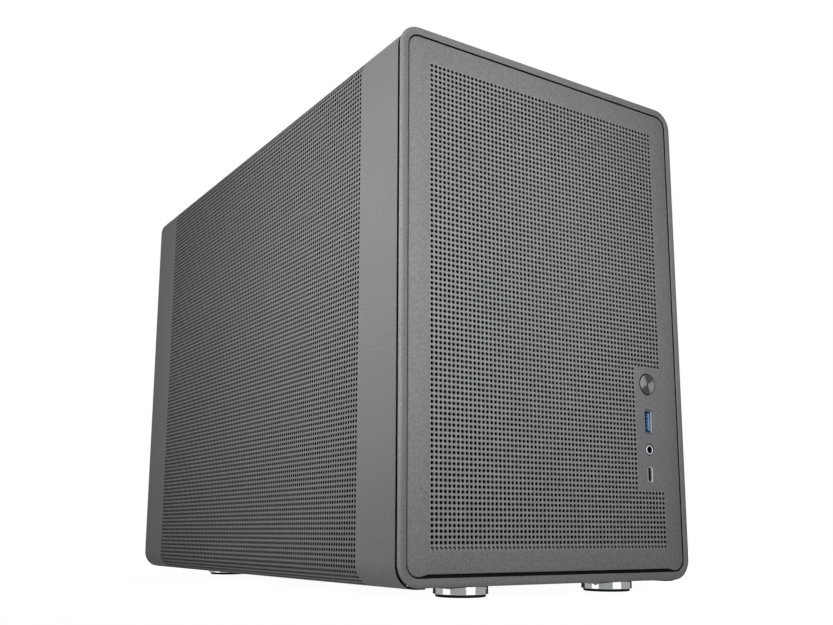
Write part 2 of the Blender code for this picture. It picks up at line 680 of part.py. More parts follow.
def side_panel(name, side):
    corners = [(side * WRAP_EDGE, LID_FRONT, BODY_TOP), (side * BODY_HALF, LID_FRONT, BODY_TOP),
               (side * BODY_HALF, LID_FRONT, BODY_BOTTOM), (side * WRAP_EDGE, LID_FRONT, BODY_BOTTOM)]
    path = folded_path(corners, BODY_RADIUS, WRAP_STEPS)
    if side < 0:
        path.reverse()
    panel = bent_sheet(name, path, (0.0, REAR - LID_FRONT, 0.0), SHEET, POWDER_COAT)

    bottom = BODY_BOTTOM + SIDE_FIELD_MARGIN
    cell = (SIDE_FIELD_LENGTH / SIDE_COLUMNS, (BODY_TOP - SIDE_FIELD_MARGIN - bottom) / SIDE_ROWS)
    middle_x = side * (BODY_HALF - SHEET / 2)
    centres = [(middle_x, y, z) for y in grid(FRONT + SIDE_FIELD_START, cell[0], SIDE_COLUMNS)
               for z in grid(bottom, cell[1], SIDE_ROWS)]
    size = (3 * SHEET, cell[0] * OPEN_SHARE, cell[1] * OPEN_SHARE)
    cut(panel, boxes(f"{name}_holes", centres, size))

    foot_x = side * (BODY_HALF - SHEET - SEAT)
    reach = abs(foot_x) - (CHASSIS_HALF - SHEET) + 2 * STUD_BALL
    for index, (y, z) in enumerate(side_stud_places()):
        label = name.replace("panel", "stud")
        stud(f"{label}_{index + 1}", (foot_x, y, z), (-side, 0.0, 0.0), 1.0, reach, BLACK_PLASTIC)


def plate_notches(piece, low, high):
    """Room in a folded sheet's edges for the front frame and for the front and rear plates."""
    spans = ((FRONT, FRONT_PLATE + SHEET + SEAT), (REAR_INSIDE - SEAT, REAR_PLATE + SEAT))
    for index, (start, end) in enumerate(spans):
        cut(piece, box(f"{piece.name}_notch_{index}", (-LID_HALF - SHEET, start, low),
                       (LID_HALF + SHEET, end, high)))


def top_panel():
    low = BODY_TOP - TOP_FOLD
    corners = [(LID_HALF, LID_FRONT, low), (LID_HALF, LID_FRONT, BODY_TOP),
               (-LID_HALF, LID_FRONT, BODY_TOP), (-LID_HALF, LID_FRONT, low)]
    path = folded_path(corners, FOLD_RADIUS)
    path.reverse()
    panel = bent_sheet("top_panel", path, (0.0, REAR - LID_FRONT, 0.0), SHEET, POWDER_COAT)
    plate_notches(panel, low - SHEET, BODY_TOP - SHEET - SEAT / 2)
    cell = (TOP_FIELD_WIDTH / TOP_COLUMNS, SIDE_FIELD_LENGTH / TOP_ROWS)
    centres = [(x, y, BODY_TOP - SHEET / 2) for x in grid(-TOP_FIELD_WIDTH / 2, cell[0], TOP_COLUMNS)
               for y in grid(FRONT + SIDE_FIELD_START, cell[1], TOP_ROWS)]
    size = (cell[0] * OPEN_SHARE, cell[1] * OPEN_SHARE, 3 * SHEET)
    cut(panel, boxes("top_panel_holes", centres, size))


def chassis_floor():
    high = BODY_BOTTOM + FLOOR_FOLD
    corners = [(-LID_HALF, LID_FRONT, high), (-LID_HALF, LID_FRONT, BODY_BOTTOM),
               (LID_HALF, LID_FRONT, BODY_BOTTOM), (LID_HALF, LID_FRONT, high)]
    path = folded_path(corners, FOLD_RADIUS)
    path.reverse()
    floor = bent_sheet("chassis_floor", path, (0.0, REAR - LID_FRONT, 0.0), SHEET, BLACK_STEEL)
    plate_notches(floor, FLOOR_TOP + SEAT / 2, high + SHEET)
    starts = [FRONT + FLOOR_SLOT_START + FLOOR_SLOT_PITCH * index for index in range(FLOOR_SLOT_COUNT)]
    centres = [(0.0, start, BODY_BOTTOM + SHEET / 2) for start in starts]
    cut(floor, boxes("floor_slots", centres, (*FLOOR_SLOT, 3 * SHEET)))


def chassis_roof():
    start = FRONT_PLATE + SHEET + SEAT
    end = REAR_INSIDE - SEAT
    low = ROOF_TOP - ROOF_FOLD
    corners = [(ROOF_HALF, start, low), (ROOF_HALF, start, ROOF_TOP),
               (-ROOF_HALF, start, ROOF_TOP), (-ROOF_HALF, start, low)]
    path = folded_path(corners, FOLD_RADIUS)
    path.reverse()
    roof = bent_sheet("chassis_roof", path, (0.0, end - start, 0.0), SHEET, BLACK_STEEL)
    half_width = ROOF_HALF - ROOF_SIDE_MARGIN
    cut(roof, box("roof_opening", (-half_width, start + ROOF_END_MARGIN, ROOF_TOP - 2 * SHEET),
                  (half_width, end - ROOF_END_MARGIN, ROOF_TOP + SHEET)))


def front_fan_heights():
    middle = FRAME_MIDDLE
    return (middle - FRONT_FAN_PITCH / 2, middle + FRONT_FAN_PITCH / 2)


def chassis_front():
    back = FRONT_PLATE + FRONT_FLANGE
    corners = [(-CHASSIS_HALF, back, BODY_BOTTOM), (-CHASSIS_HALF, FRONT_PLATE, BODY_BOTTOM),
               (CHASSIS_HALF, FRONT_PLATE, BODY_BOTTOM), (CHASSIS_HALF, back, BODY_BOTTOM)]
    path = folded_path(corners, FOLD_RADIUS)
    plate = bent_sheet("chassis_front", path, (0.0, 0.0, BODY_TOP - BODY_BOTTOM), SHEET, BLACK_STEEL)
    combine(plate, inside_guide("front_trim"), "INTERSECT")
    for index, z in enumerate(front_fan_heights()):
        start = (FRONT_FAN_X, FRONT_PLATE - SHEET, z)
        end = (FRONT_FAN_X, FRONT_PLATE + 2 * SHEET, z)
        cut(plate, cylinder(f"front_fan_hole_{index}", start, end, FRONT_FAN_RADIUS, LARGE_SIDES))
    cut_stud_holes(plate, "front_plate", 0)


def cut_stud_holes(plate, label, first):
    """Holes for the ball studs of both side panels in one plate's flanges."""
    for index, (y, z) in enumerate(side_stud_places()[first:first + 2]):
        for side in (-1, 1):
            start = (side * (CHASSIS_HALF - 3 * SHEET), y, z)
            end = (side * (CHASSIS_HALF + SHEET), y, z)
            hole = f"{label}_stud_hole_{index}_{side}"
            cut(plate, cylinder(hole, start, end, STUD_BALL + STUD_CLEARANCE, SMALL_SIDES))


def slot_heights():
    top = SLOTS_TOP - SLOT_COVER_HEIGHT / 2
    return [top - SLOT_PITCH * index for index in range(SLOT_COUNT)]


def chassis_rear():
    back = REAR_PLATE - REAR_FLANGE
    corners = [(CHASSIS_HALF, back, BODY_BOTTOM), (CHASSIS_HALF, REAR_PLATE, BODY_BOTTOM),
               (-CHASSIS_HALF, REAR_PLATE, BODY_BOTTOM), (-CHASSIS_HALF, back, BODY_BOTTOM)]
    path = folded_path(corners, FOLD_RADIUS)
    plate = bent_sheet("chassis_rear", path, (0.0, 0.0, BODY_TOP - BODY_BOTTOM), SHEET, BLACK_STEEL)
    combine(plate, inside_guide("rear_trim"), "INTERSECT")
    near = REAR_INSIDE - SHEET
    far = REAR_PLATE + SHEET

    cut(plate, box("io_window", (IO_LEFT, near, IO_BOTTOM), (IO_RIGHT, far, IO_TOP)))
    for index, z in enumerate(slot_heights()):
        half = SLOT_OPENING_HEIGHT / 2
        cut(plate, box(f"slot_window_{index}", (SLOT_LEFT + SLOT_LAP, near, z - half),
                       (SLOT_RIGHT - SLOT_LAP, far, z + half)))
    low_slot = slot_heights()[-1] - SLOT_COVER_HEIGHT / 2 - SEAT
    tab_room = (SLOT_LEFT + SLOT_THICKNESS + FOLD_RADIUS, far, SLOTS_TOP + SEAT)
    cut(plate, box("slot_tab_window", (SLOT_LEFT - SEAT, near, low_slot), tab_room))

    vent = 2 * FAN_BORE / FAN_VENT_COUNT
    centres = []
    for x in grid(FAN_X - FAN_BORE, vent, FAN_VENT_COUNT):
        for z in grid(FAN_Z - FAN_BORE, vent, FAN_VENT_COUNT):
            if math.hypot(x - FAN_X, z - FAN_Z) < FAN_BORE - vent * FAN_VENT_EDGE:
                centres.append((x, REAR_PLATE - SHEET / 2, z))
    cut(plate, boxes("fan_vents", centres, (vent * FAN_VENT_SHARE, 3 * SHEET, vent * FAN_VENT_SHARE)))
    for index, (x, z) in enumerate(fan_screw_places()):
        hole = cylinder(f"fan_screw_hole_{index}", (x, near, z), (x, far, z), SCREW_SHANK + SEAT, SMALL_SIDES)
        cut(plate, hole)
    x, z = clamp_screw_place()
    cut(plate, cylinder("clamp_hole", (x, near, z), (x, far, z), SCREW_SHANK + SEAT, SMALL_SIDES))

    half_x = INLET_BODY[0] / 2 + SEAT
    inlet_bottom = FLOOR_TOP + INLET_RISE - INLET_BODY[1] / 2 - SEAT
    cut(plate, box("inlet_window", (INLET_X - half_x, near, inlet_bottom),
                   (INLET_X + half_x, far, inlet_bottom + INLET_BODY[1] + 2 * SEAT)))
    cut_stud_holes(plate, "rear_plate", 2)


def slot_covers():
    y = REAR_INSIDE - SEAT
    tab_end = REAR_PLATE + SLOT_TAB - SHEET
    for index, z in enumerate(slot_heights()):
        low = z - SLOT_COVER_HEIGHT / 2
        path = folded_path([(SLOT_LEFT, tab_end, low), (SLOT_LEFT, y - SLOT_THICKNESS, low),
                            (SLOT_RIGHT, y - SLOT_THICKNESS, low)], FOLD_RADIUS)
        bent_sheet(f"slot_cover_{index + 1}", path, (0.0, 0.0, SLOT_COVER_HEIGHT), SLOT_THICKNESS,
                   BLACK_STEEL)


def clamp_screw_place():
    x = SLOT_LEFT - SEAT - CLAMP_THICKNESS - CLAMP_FOOT / 2 - SHEET
    z = (slot_heights()[0] + slot_heights()[-1]) / 2
    return x, z


def slot_clamp():
    x = SLOT_LEFT - SEAT
    y = REAR_PLATE + SEAT
    low = slot_heights()[-1] - SLOT_COVER_HEIGHT / 2
    high = slot_heights()[0] + SLOT_COVER_HEIGHT / 2
    outer = y + SLOT_TAB - 2 * SHEET
    path = folded_path([(x, outer, low), (x, y, low), (x - CLAMP_FOOT - CLAMP_THICKNESS, y, low)],
                       FOLD_RADIUS)
    path.reverse()
    clamp = bent_sheet("slot_clamp", path, (0.0, 0.0, high - low), CLAMP_THICKNESS, BLACK_STEEL)
    screw_x, screw_z = clamp_screw_place()
    near = (screw_x, y - SHEET, screw_z)
    far = (screw_x, y + 2 * CLAMP_THICKNESS, screw_z)
    cut(clamp, cylinder("clamp_screw_hole", near, far, SCREW_SHANK + SEAT, SMALL_SIDES))
    seat = (screw_x, y + CLAMP_THICKNESS + SEAT, screw_z)
    screw("clamp_screw", seat, (0.0, -1.0, 0.0), THUMB_HEAD, THUMB_HEAD_THICKNESS, BLACK_STEEL)


def fan_screw_places():
    half = FAN_SIZE / 2 - FAN_SCREW_INSET
    return [(FAN_X + side * half, FAN_Z + rise * half) for side in (-1, 1) for rise in (-1, 1)]


def fan():
    back = REAR_INSIDE - SEAT
    front = back - FAN_DEPTH
    middle = (FAN_X, (front + back) / 2, FAN_Z)
    outline = rounded_rectangle(FAN_SIZE, FAN_SIZE, FAN_RADIUS, FOLD_STEPS)
    frame = outline_prism("fan_frame", outline, middle, FAN_DEPTH, BLACK_PLASTIC)
    bore_start = (FAN_X, front - SHEET, FAN_Z)
    cut(frame, cylinder("fan_bore", bore_start, (FAN_X, back + SHEET, FAN_Z), FAN_BORE, LARGE_SIDES))
    strut_front = back - MOTOR_PLATE
    fuse(frame, cylinder("motor_plate", (FAN_X, strut_front, FAN_Z), (FAN_X, back, FAN_Z), MOTOR_RADIUS))
    for index, angle in enumerate((HALF_CORNER, -HALF_CORNER)):
        reach = FAN_BORE + SHEET
        strut = box(f"fan_strut_{index}", (-reach, -STRUT_THICKNESS / 2, -STRUT_WIDTH / 2),
                    (reach, STRUT_THICKNESS / 2, STRUT_WIDTH / 2))
        strut.location = (FAN_X, (strut_front + back) / 2, FAN_Z)
        strut.rotation_euler = (0.0, angle, 0.0)
        fuse(frame, strut)
    axle_start = (FAN_X, strut_front + SHEET, FAN_Z)
    axle_end = (FAN_X, front + FAN_DEPTH / 2, FAN_Z)
    fuse(frame, cylinder("fan_axle", axle_start, axle_end, AXLE_RADIUS, SMALL_SIDES))
    for index, (x, z) in enumerate(fan_screw_places()):
        start = (x, back - SCREW_LENGTH - SHEET, z)
        end = (x, back + SHEET, z)
        cut(frame, cylinder(f"fan_pilot_{index}", start, end, SCREW_SHANK + SEAT, SMALL_SIDES))
        seat = (x, REAR_PLATE + SEAT, z)
        screw(f"fan_screw_{index + 1}", seat, (0.0, -1.0, 0.0), SCREW_HEAD, SCREW_HEAD_THICKNESS,
              BLACK_STEEL)
    fan_rotor((FAN_X, front, FAN_Z))


def fan_rotor(front_centre):
    """The impeller, turned about Y, with its hub open to the rear for the axle."""
    gap = FAN_DEPTH - MOTOR_PLATE - FAN_HUB_DEPTH - SEAT
    top = FAN_HUB_DEPTH / 2
    bore = AXLE_RADIUS + SEAT
    depth = FAN_DEPTH / 2 - gap
    profile = [(0.0, top), (FAN_HUB, top), (FAN_HUB, -top), (bore, -top),
               (bore, top - depth + SEAT), (0.0, top - depth + SEAT)]
    rotor = turned("fan_rotor", profile, ROUND_SIDES, BLACK_PLASTIC)
    rotor.location = Vector(front_centre) + Vector((0.0, gap + FAN_HUB_DEPTH / 2, 0.0))
    rotor.rotation_euler = (math.pi / 2, 0.0, 0.0)
    tip = FAN_BORE - FAN_TIP_CLEARANCE
    for index in range(FAN_BLADES):
        turn = Matrix.Rotation(index * math.tau / FAN_BLADES, 4, "Z")
        bm = bmesh.new()
        size = (tip - FAN_HUB + SHEET, BLADE_CHORD, BLADE_THICKNESS)
        middle = ((tip + FAN_HUB - SHEET) / 2, 0.0, 0.0)
        tilt = Matrix.Rotation(BLADE_PITCH, 4, "X")
        where = turn @ Matrix.Translation(middle) @ tilt @ Matrix.Diagonal((*size, 1.0))
        bmesh.ops.create_cube(bm, size=1.0, matrix=where)
        blade = place(f"fan_blade_{index}", bm, None)
        blade.location = rotor.location
        blade.rotation_euler = rotor.rotation_euler
        fuse(rotor, blade)


def motherboard_tray():
    end = REAR_INSIDE - SEAT
    start = end - TRAY_LENGTH
    low = INSIDE_BOTTOM
    path = folded_path([(TRAY_X + TRAY_FOLD, start, low), (TRAY_X, start, low), (TRAY_X, end, low)],
                       FOLD_RADIUS)
    path.reverse()
    tray = bent_sheet("motherboard_tray", path, (0.0, 0.0, INSIDE_TOP - low), SHEET, BLACK_STEEL)
    near_x = TRAY_X - 2 * SHEET
    far_x = TRAY_X + 3 * SHEET
    windows = [(COOLER_FROM_REAR, COOLER_DROP, COOLER_WINDOW)]
    windows += [(CABLE_FROM_REAR, height_drop, CABLE_HOLE) for height_drop in CABLE_DROPS]
    for index, (from_rear, below_top, size) in enumerate(windows):
        y = REAR_PLATE - from_rear
        z = FRAME_TOP - below_top
        cut(tray, box(f"tray_window_{index}", (near_x, y - size[0] / 2, z - size[1] / 2),
                      (far_x, y + size[0] / 2, z + size[1] / 2)))
    number = 1
    for from_rear in STANDOFF_FROM_REAR:
        for below_top in STANDOFF_DROPS:
            foot = Vector((TRAY_X - SEAT, REAR_PLATE - from_rear, FRAME_TOP - below_top))
            end_point = foot - Vector((STANDOFF_LENGTH, 0.0, 0.0))
            standoff = cylinder(f"standoff_{number}", foot, end_point, STANDOFF_RADIUS, HEX_SIDES, BRASS)
            standoff.data.shade_flat()
            number += 1


def supply_bracket():
    """Folded bracket behind the front plate that a power supply is screwed to."""
    face = FRONT_PLATE + SHEET + SEAT
    end = face + SUPPLY_REACH
    corners = [(-SUPPLY_HALF, face, SUPPLY_Z + SUPPLY_EAR), (-SUPPLY_HALF, face, SUPPLY_Z),
               (-SUPPLY_HALF, end, SUPPLY_Z), (-SUPPLY_HALF, end, SUPPLY_Z - SUPPLY_LIP)]
    path = folded_path(corners, FOLD_RADIUS)
    bracket = bent_sheet("supply_bracket", path, (2 * SUPPLY_HALF, 0.0, 0.0), SHEET, BLACK_STEEL)
    half = SUPPLY_HALF - SUPPLY_WINDOW_MARGIN
    middle = (face + end) / 2
    half_length = SUPPLY_WINDOW_LENGTH / 2
    cut(bracket, box("supply_window", (-half, middle - half_length, SUPPLY_Z - 3 * SHEET),
                     (half, middle + half_length, SUPPLY_Z + 3 * SHEET)))


def drive_tray():
    left = DRIVE_SIDE_GAP - CHASSIS_HALF
    right = left + DRIVE_WIDTH
    base = FLOOR_TOP + SEAT
    start = REAR - DRIVE_FROM_REAR - DRIVE_LENGTH
    corners = [(left, start, base + DRIVE_WALL), (left, start, base), (right, start, base),
               (right, start, base + DRIVE_WALL)]
    path = folded_path(corners, FOLD_RADIUS)
    path.reverse()
    tray = bent_sheet("drive_tray", path, (0.0, DRIVE_LENGTH, 0.0), SHEET, BLACK_STEEL)
    columns, rows = DRIVE_SLOTS
    centres = [(x, y, base + SHEET / 2) for x in grid(left, DRIVE_WIDTH / columns, columns)
               for y in grid(start, DRIVE_LENGTH / rows, rows)]
    size = (DRIVE_WIDTH / columns * OPEN_SHARE, DRIVE_LENGTH / rows * OPEN_SHARE, 3 * SHEET)
    cut(tray, boxes("drive_tray_slots", centres, size))


def port_board():
    """The circuit board behind the ports and the hat-shaped bracket that carries it."""
    half = BOARD_WIDTH / 2
    face = FRONT + BOARD_FACE
    back = face + BOARD_THICKNESS
    box("port_board", (PORT_X - half, face, BOARD_BOTTOM), (PORT_X + half, back, BOARD_TOP), BOARD_GREEN)
    seat = back + SEAT
    foot = FRONT_PLATE - SEAT - SHEET
    rise = 2 * FOLD_RADIUS + SHEET
    corners = [(PORT_X - half, foot, BOARD_BOTTOM - 2 * rise), (PORT_X - half, foot, BOARD_BOTTOM + rise),
               (PORT_X - half, seat, BOARD_BOTTOM + rise), (PORT_X - half, seat, BOARD_TOP - rise),
               (PORT_X - half, foot, BOARD_TOP - rise), (PORT_X - half, foot, BOARD_TOP + 2 * rise)]
    path = folded_path(corners, FOLD_RADIUS)
    path.reverse()
    bent_sheet("port_bracket", path, (BOARD_WIDTH, 0.0, 0.0), SHEET, BLACK_STEEL)


def power_button():
    """A turned cap that slides over the plunger of its switch."""
    bore = PLUNGER_RADIUS + SEAT
    plunger_tip = BOARD_FACE - SEAT - SWITCH_DEPTH - PLUNGER_LENGTH
    pocket = plunger_tip - BUTTON_TRAVEL - SEAT - BUTTON_FACE
    profile = [(0.0, 0.0), (BUTTON_RADIUS - BUTTON_CHAMFER, 0.0), (BUTTON_RADIUS, -BUTTON_CHAMFER),
               (BUTTON_RADIUS, -BUTTON_LENGTH), (bore, -BUTTON_LENGTH), (bore, -pocket), (0.0, -pocket)]
    cap = turned("power_button", profile, ROUND_SIDES, BUTTON_METAL)
    cap.location = (PORT_X, FRONT + BUTTON_FACE, BUTTON_Z)
    cap.rotation_euler = (math.pi / 2, 0.0, 0.0)

    half = SWITCH_SIZE / 2
    z = BUTTON_Z
    back = FRONT + BOARD_FACE - SEAT
    front = back - SWITCH_DEPTH
    switch = box("power_switch", (PORT_X - half, front, z - half), (PORT_X + half, back, z + half),
                 BLACK_PLASTIC)
    plunger = cylinder("switch_plunger", (PORT_X, front + SHEET, z), (PORT_X, front - PLUNGER_LENGTH, z),
                       PLUNGER_RADIUS, SMALL_SIDES)
    fuse(switch, plunger)


def socket_shell(name, size, mouth, radius, height):
    """A plated socket shell with its mouth open to the front."""
    face = FRONT + PORT_FACE
    back = FRONT + BOARD_FACE - SEAT
    outline = rounded_rectangle(size[0], size[1], radius, FOLD_STEPS)
    middle = (PORT_X, (face + back) / 2, height)
    shell = outline_prism(name, outline, middle, back - face, PORT_STEEL)
    inner = rounded_rectangle(mouth[0], mouth[1], radius * mouth[0] / size[0], FOLD_STEPS)
    mouth_middle = (PORT_X, face, height)
    cut(shell, outline_prism(f"{name}_mouth", inner, mouth_middle, 2 * PORT_MOUTH_DEPTH))


def ports():
    wide = WIDE_PORT_Z
    socket_shell("wide_port_shell", WIDE_PORT, WIDE_PORT_MOUTH, WIDE_PORT_RADIUS, wide)
    back = FRONT + PORT_FACE + PORT_MOUTH_DEPTH - SEAT
    right = PORT_X + WIDE_PORT_MOUTH[0] / 2 - SEAT
    box("wide_port_tongue", (right - TONGUE[0], back - TONGUE_LENGTH, wide - TONGUE[1] / 2),
        (right, back, wide + TONGUE[1] / 2), BLUE_PLASTIC)
    narrow = NARROW_PORT_Z
    socket_shell("narrow_port_shell", NARROW_PORT, NARROW_PORT_MOUTH, NARROW_PORT_RADIUS, narrow)

    z = JACK_Z
    back = FRONT + BOARD_FACE - SEAT
    length = back - FRONT - PORT_FACE
    bottom = JACK_END - length
    half_x, half_z = JACK_BODY[0] / 2, JACK_BODY[1] / 2
    profile = [(0.0, bottom), (JACK_BORE, bottom), (JACK_BORE, 0.0), (JACK_RADIUS, 0.0),
               (JACK_RADIUS, -length), (0.0, -length)]
    jack = turned("headset_jack", profile, ROUND_SIDES, PORT_STEEL)
    jack.location = (PORT_X, FRONT + PORT_FACE, z)
    jack.rotation_euler = (math.pi / 2, 0.0, 0.0)
    body = box("jack_body", (PORT_X - half_x, back - length / 2, z - half_z),
               (PORT_X + half_x, back, z + half_z))
    cut(body, cylinder("jack_body_bore", (PORT_X, back - length, z), (PORT_X, back - JACK_END, z),
                       JACK_BORE))
    fuse(jack, body)


def power_inlet():
    """Mains socket through the rear plate, with its flange on the outside."""
    z = FLOOR_TOP + INLET_RISE
    flange_front = REAR_PLATE + SEAT
    flange_back = flange_front + INLET_FLANGE_THICKNESS
    half_x, half_z = INLET_FLANGE[0] / 2, INLET_FLANGE[1] / 2
    inlet = box("power_inlet", (INLET_X - half_x, flange_front, z - half_z),
                (INLET_X + half_x, flange_back, z + half_z), BLACK_PLASTIC)
    half_x, half_z = INLET_BODY[0] / 2, INLET_BODY[1] / 2
    fuse(inlet, box("inlet_body", (INLET_X - half_x, REAR_PLATE - INLET_BODY_DEPTH, z - half_z),
                    (INLET_X + half_x, flange_front + INLET_FLANGE_THICKNESS / 2, z + half_z)))
    half_x, half_z = INLET_MOUTH[0] / 2, INLET_MOUTH[1] / 2
    cut(inlet, box("inlet_mouth", (INLET_X - half_x, flange_back - INLET_MOUTH_DEPTH, z - half_z),
                   (INLET_X + half_x, flange_back + SHEET, z + half_z)))


def feet():
    front = FRONT + FOOT_FROM_FRONT
    rear = REAR - FOOT_FROM_REAR
    places = {"front_left": (-FOOT_X, front), "front_right": (FOOT_X, front),
              "rear_left": (-FOOT_X, rear), "rear_right": (FOOT_X, rear)}
    top = BODY_BOTTOM - SEAT
    pocket = PAD_THICKNESS + SEAT
    inner = PAD_RADIUS + SEAT
    for where, (x, y) in places.items():
        profile = [(0.0, top), (FOOT_RADIUS, top), (FOOT_RADIUS, PAD_SHOWING + FOOT_CHAMFER),
                   (FOOT_RADIUS - FOOT_CHAMFER, PAD_SHOWING), (inner, PAD_SHOWING), (inner, pocket),
                   (0.0, pocket)]
        cup = turned(f"foot_{where}", profile, ROUND_SIDES, CHROME)
        cup.location = (x, y, 0.0)
        base = Vector((x, y, 0.0))
        cylinder(f"foot_pad_{where}", base, base + Vector((0.0, 0.0, PAD_THICKNESS)), PAD_RADIUS,
                 ROUND_SIDES, RUBBER)


front_frame()
front_panel()
front_filter()
front_studs()
side_panel("left_panel", -1)
side_panel("right_panel", 1)
top_panel()
chassis_floor()
chassis_roof()
chassis_front()
chassis_rear()
slot_covers()
slot_clamp()
fan()
motherboard_tray()
supply_bracket()
drive_tray()
port_board()
power_button()
ports()
power_inlet()
feet()
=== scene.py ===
"""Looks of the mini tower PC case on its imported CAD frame. Units are metres, the front faces -Y."""
import json
import math

import bmesh
import bpy
from mathutils import Matrix, Vector


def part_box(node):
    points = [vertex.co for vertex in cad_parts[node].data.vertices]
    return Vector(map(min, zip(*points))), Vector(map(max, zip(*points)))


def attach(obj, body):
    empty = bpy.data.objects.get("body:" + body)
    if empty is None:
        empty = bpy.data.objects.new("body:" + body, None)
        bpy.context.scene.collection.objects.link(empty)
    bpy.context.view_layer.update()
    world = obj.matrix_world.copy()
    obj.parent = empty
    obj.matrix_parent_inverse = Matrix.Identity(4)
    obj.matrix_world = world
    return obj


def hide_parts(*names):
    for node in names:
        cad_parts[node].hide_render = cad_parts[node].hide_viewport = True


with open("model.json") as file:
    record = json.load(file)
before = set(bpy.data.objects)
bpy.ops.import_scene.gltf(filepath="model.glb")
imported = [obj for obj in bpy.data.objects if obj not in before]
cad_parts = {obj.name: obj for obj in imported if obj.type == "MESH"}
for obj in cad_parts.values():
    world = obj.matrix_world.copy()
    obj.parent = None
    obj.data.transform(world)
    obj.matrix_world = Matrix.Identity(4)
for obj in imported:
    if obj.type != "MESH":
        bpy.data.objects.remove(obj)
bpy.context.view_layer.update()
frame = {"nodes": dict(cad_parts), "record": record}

MM = 0.001

# Camera, fitted to the grid of holes in the photo
CAMERA_PLACE = (-0.3533, -0.58965, 0.0328)
CAMERA_YAW = -33.137
CAMERA_PITCH = 9.993
CAMERA_ROLL = 0.194
CAMERA_LENS = 40.675
CAMERA_SENSOR = 36.0
CAMERA_SHIFT = (0.0055, 0.0658)
CAMERA_CLIP = 10.0 * MM

# Studio light: a soft world, lamps, a floor, and grey cards that only reflections show
WORLD_STRENGTH = 0.04
WORLD_RAMP = (0.35, 0.75)
WORLD_BELOW = (0.8, 0.8, 0.8)
WORLD_ABOVE = (1.0, 1.0, 1.0)
# Name, place, aim, side length, spread in degrees and watts of each square softbox
LAMPS = (
    ("left_softbox", (-0.9, -0.3, 0.25), (-0.11, -0.12, 0.2), 0.3, 60.0, 0.51),
    ("left_near_softbox", (-0.45, -0.25, 0.25), (-0.11, -0.17, 0.22), 0.15, 80.0, 0.18),
    ("left_rear_softbox", (-0.9, 0.2, 0.3), (-0.11, 0.1, 0.25), 0.3, 60.0, 0.21),
    ("front_softbox", (-0.2, -0.9, 0.25), (-0.07, -0.19, 0.2), 0.3, 60.0, 0.61),
    ("front_near_softbox", (0.0, -0.7, 0.25), (-0.02, -0.19, 0.22), 0.2, 60.0, 0.08),
    ("right_softbox", (1.05, 0.85, 1.0), (0.05, 0.0, 0.28), 0.7, 120.0, 19.0),
    ("rear_softbox", (0.5, 1.4, 0.5), (0.0, 0.2, 0.2), 0.8, 120.0, 6.0),
)
# The floor takes light with its colour, and to the camera it is white but for a painted shade near
# the case, a dimming of its white that fades out between two distances, where its real shadow shows
FLOOR_RADIUS = 2.2
FLOOR_GAP = 0.05 * MM
FLOOR_COLOUR = (0.15, 0.15, 0.15)
FLOOR_SHADE = 0.08
FLOOR_PAINTED_SHADE = 0.03
FLOOR_NEAR = 0.3
FLOOR_FAR = 0.8
CARD_DISTANCE = 2.4
CARD_HEIGHT = (-1.2, 2.6)
CARD_STEP = 5.0
# Name, first and last angle in degrees round the case, and grey level of each card
CARDS = (
    ("card_rear", 0.0, 110.0, 45.0),
    ("card_left", 110.0, 160.0, 160.0),
    ("card_corner", 195.0, 257.0, 150.0),
    ("card_right", 295.0, 360.0, 155.0),
)

# Powder coat: shine, and the noises that give its grain, its clouds, its sheen and its bumps
PAINT_GLOSS = 0.2
GRAIN_SCALE = 1100.0
GRAIN_DETAIL = (3.0, 0.6)
GRAIN_RANGE = (0.79, 1.21)
CLOUD_SCALE = 14.0
CLOUD_RANGE = (0.97, 1.03)
SHEEN_SCALE = 1500.0
SHEEN_SPREAD = 0.06
COAT_BUMP_SCALE = 1000.0
COAT_BUMP_DEPTH = 0.1 * MM

# Plastic, metal, mesh cloth and the turned face of the button with its painted highlight fans
PLASTIC_RANGE = (0.88, 1.12)
PLASTIC_SPREAD = 0.05
PLASTIC_SHEEN_RATIO = 0.5
PLASTIC_BUMP_RATIO = 1.3
PLASTIC_BUMP_DEPTH = 0.05 * MM
METAL_SCALE = 120.0
METAL_DETAIL = (4.0, 0.7)
METAL_RANGE = (0.95, 1.05)
METAL_LEAST_ROUGHNESS = 0.02
METAL_BUMP_RATIO = 8.0
METAL_BUMP = 0.05
METAL_BUMP_DEPTH = 0.02 * MM
WEAVE_PITCH = 0.6 * MM
WEAVE_COLOUR = (0.004, 0.004, 0.004, 1.0)
WEAVE_RANGE = (0.5, 1.5)
WEAVE_BUMP = 0.5
WEAVE_BUMP_DEPTH = 0.1 * MM
WEAVE_ROUGHNESS = 0.9
WEAVE_GLOSS = 0.05
TURNED_LEVEL = 125.0
TURNED_ROUGHNESS = 0.42
TURNED_METALLIC = 0.35
TURNED_RING_BUMP = 0.15
TURNED_RING_PITCH = 0.16 * MM
TURNED_RING_DEPTH = 0.02 * MM
# Painted highlight on the button: the turn, range and edge of its two bright fans
HIGHLIGHT_FAN_TURN = math.radians(18.0)
HIGHLIGHT_FAN_RANGE = (0.3, 1.55)
HIGHLIGHT_FAN_EDGE = 0.5
DOT_SHADE = 0.12
DOT_RADII = (0.5 * MM, 0.75 * MM)

# Fine holes of the front panel
FRONT_COLUMNS = 62
FRONT_ROWS = 92
COLUMN_PITCH = 2.75 * MM
ROW_PITCH = 2.844 * MM
FRONT_FIRST_ROW = 20.1 * MM
HOLE_RADIUS = 1.0 * MM
FRONT_HOLE_DEPTH = 0.8 * MM
# The plain block round the button and the sockets: its first column, its first row and its end
BLOCK_COLUMN = 54
BLOCK_BOTTOM = 12
BLOCK_TOP = 38

# Fine holes of the side panels and of the top panel
SIDE_COLUMNS = 113
SIDE_FIRST_COLUMN = 43.8 * MM
SIDE_ROW_ZERO = 12.65 * MM
SIDE_TOP_ROW = -5
SIDE_BOTTOM_ROW = 101
TOP_COLUMNS = 50
SIDE_HOLE_RADIUS = 0.98 * MM
SIDE_HOLE_DEPTH = 0.35 * MM
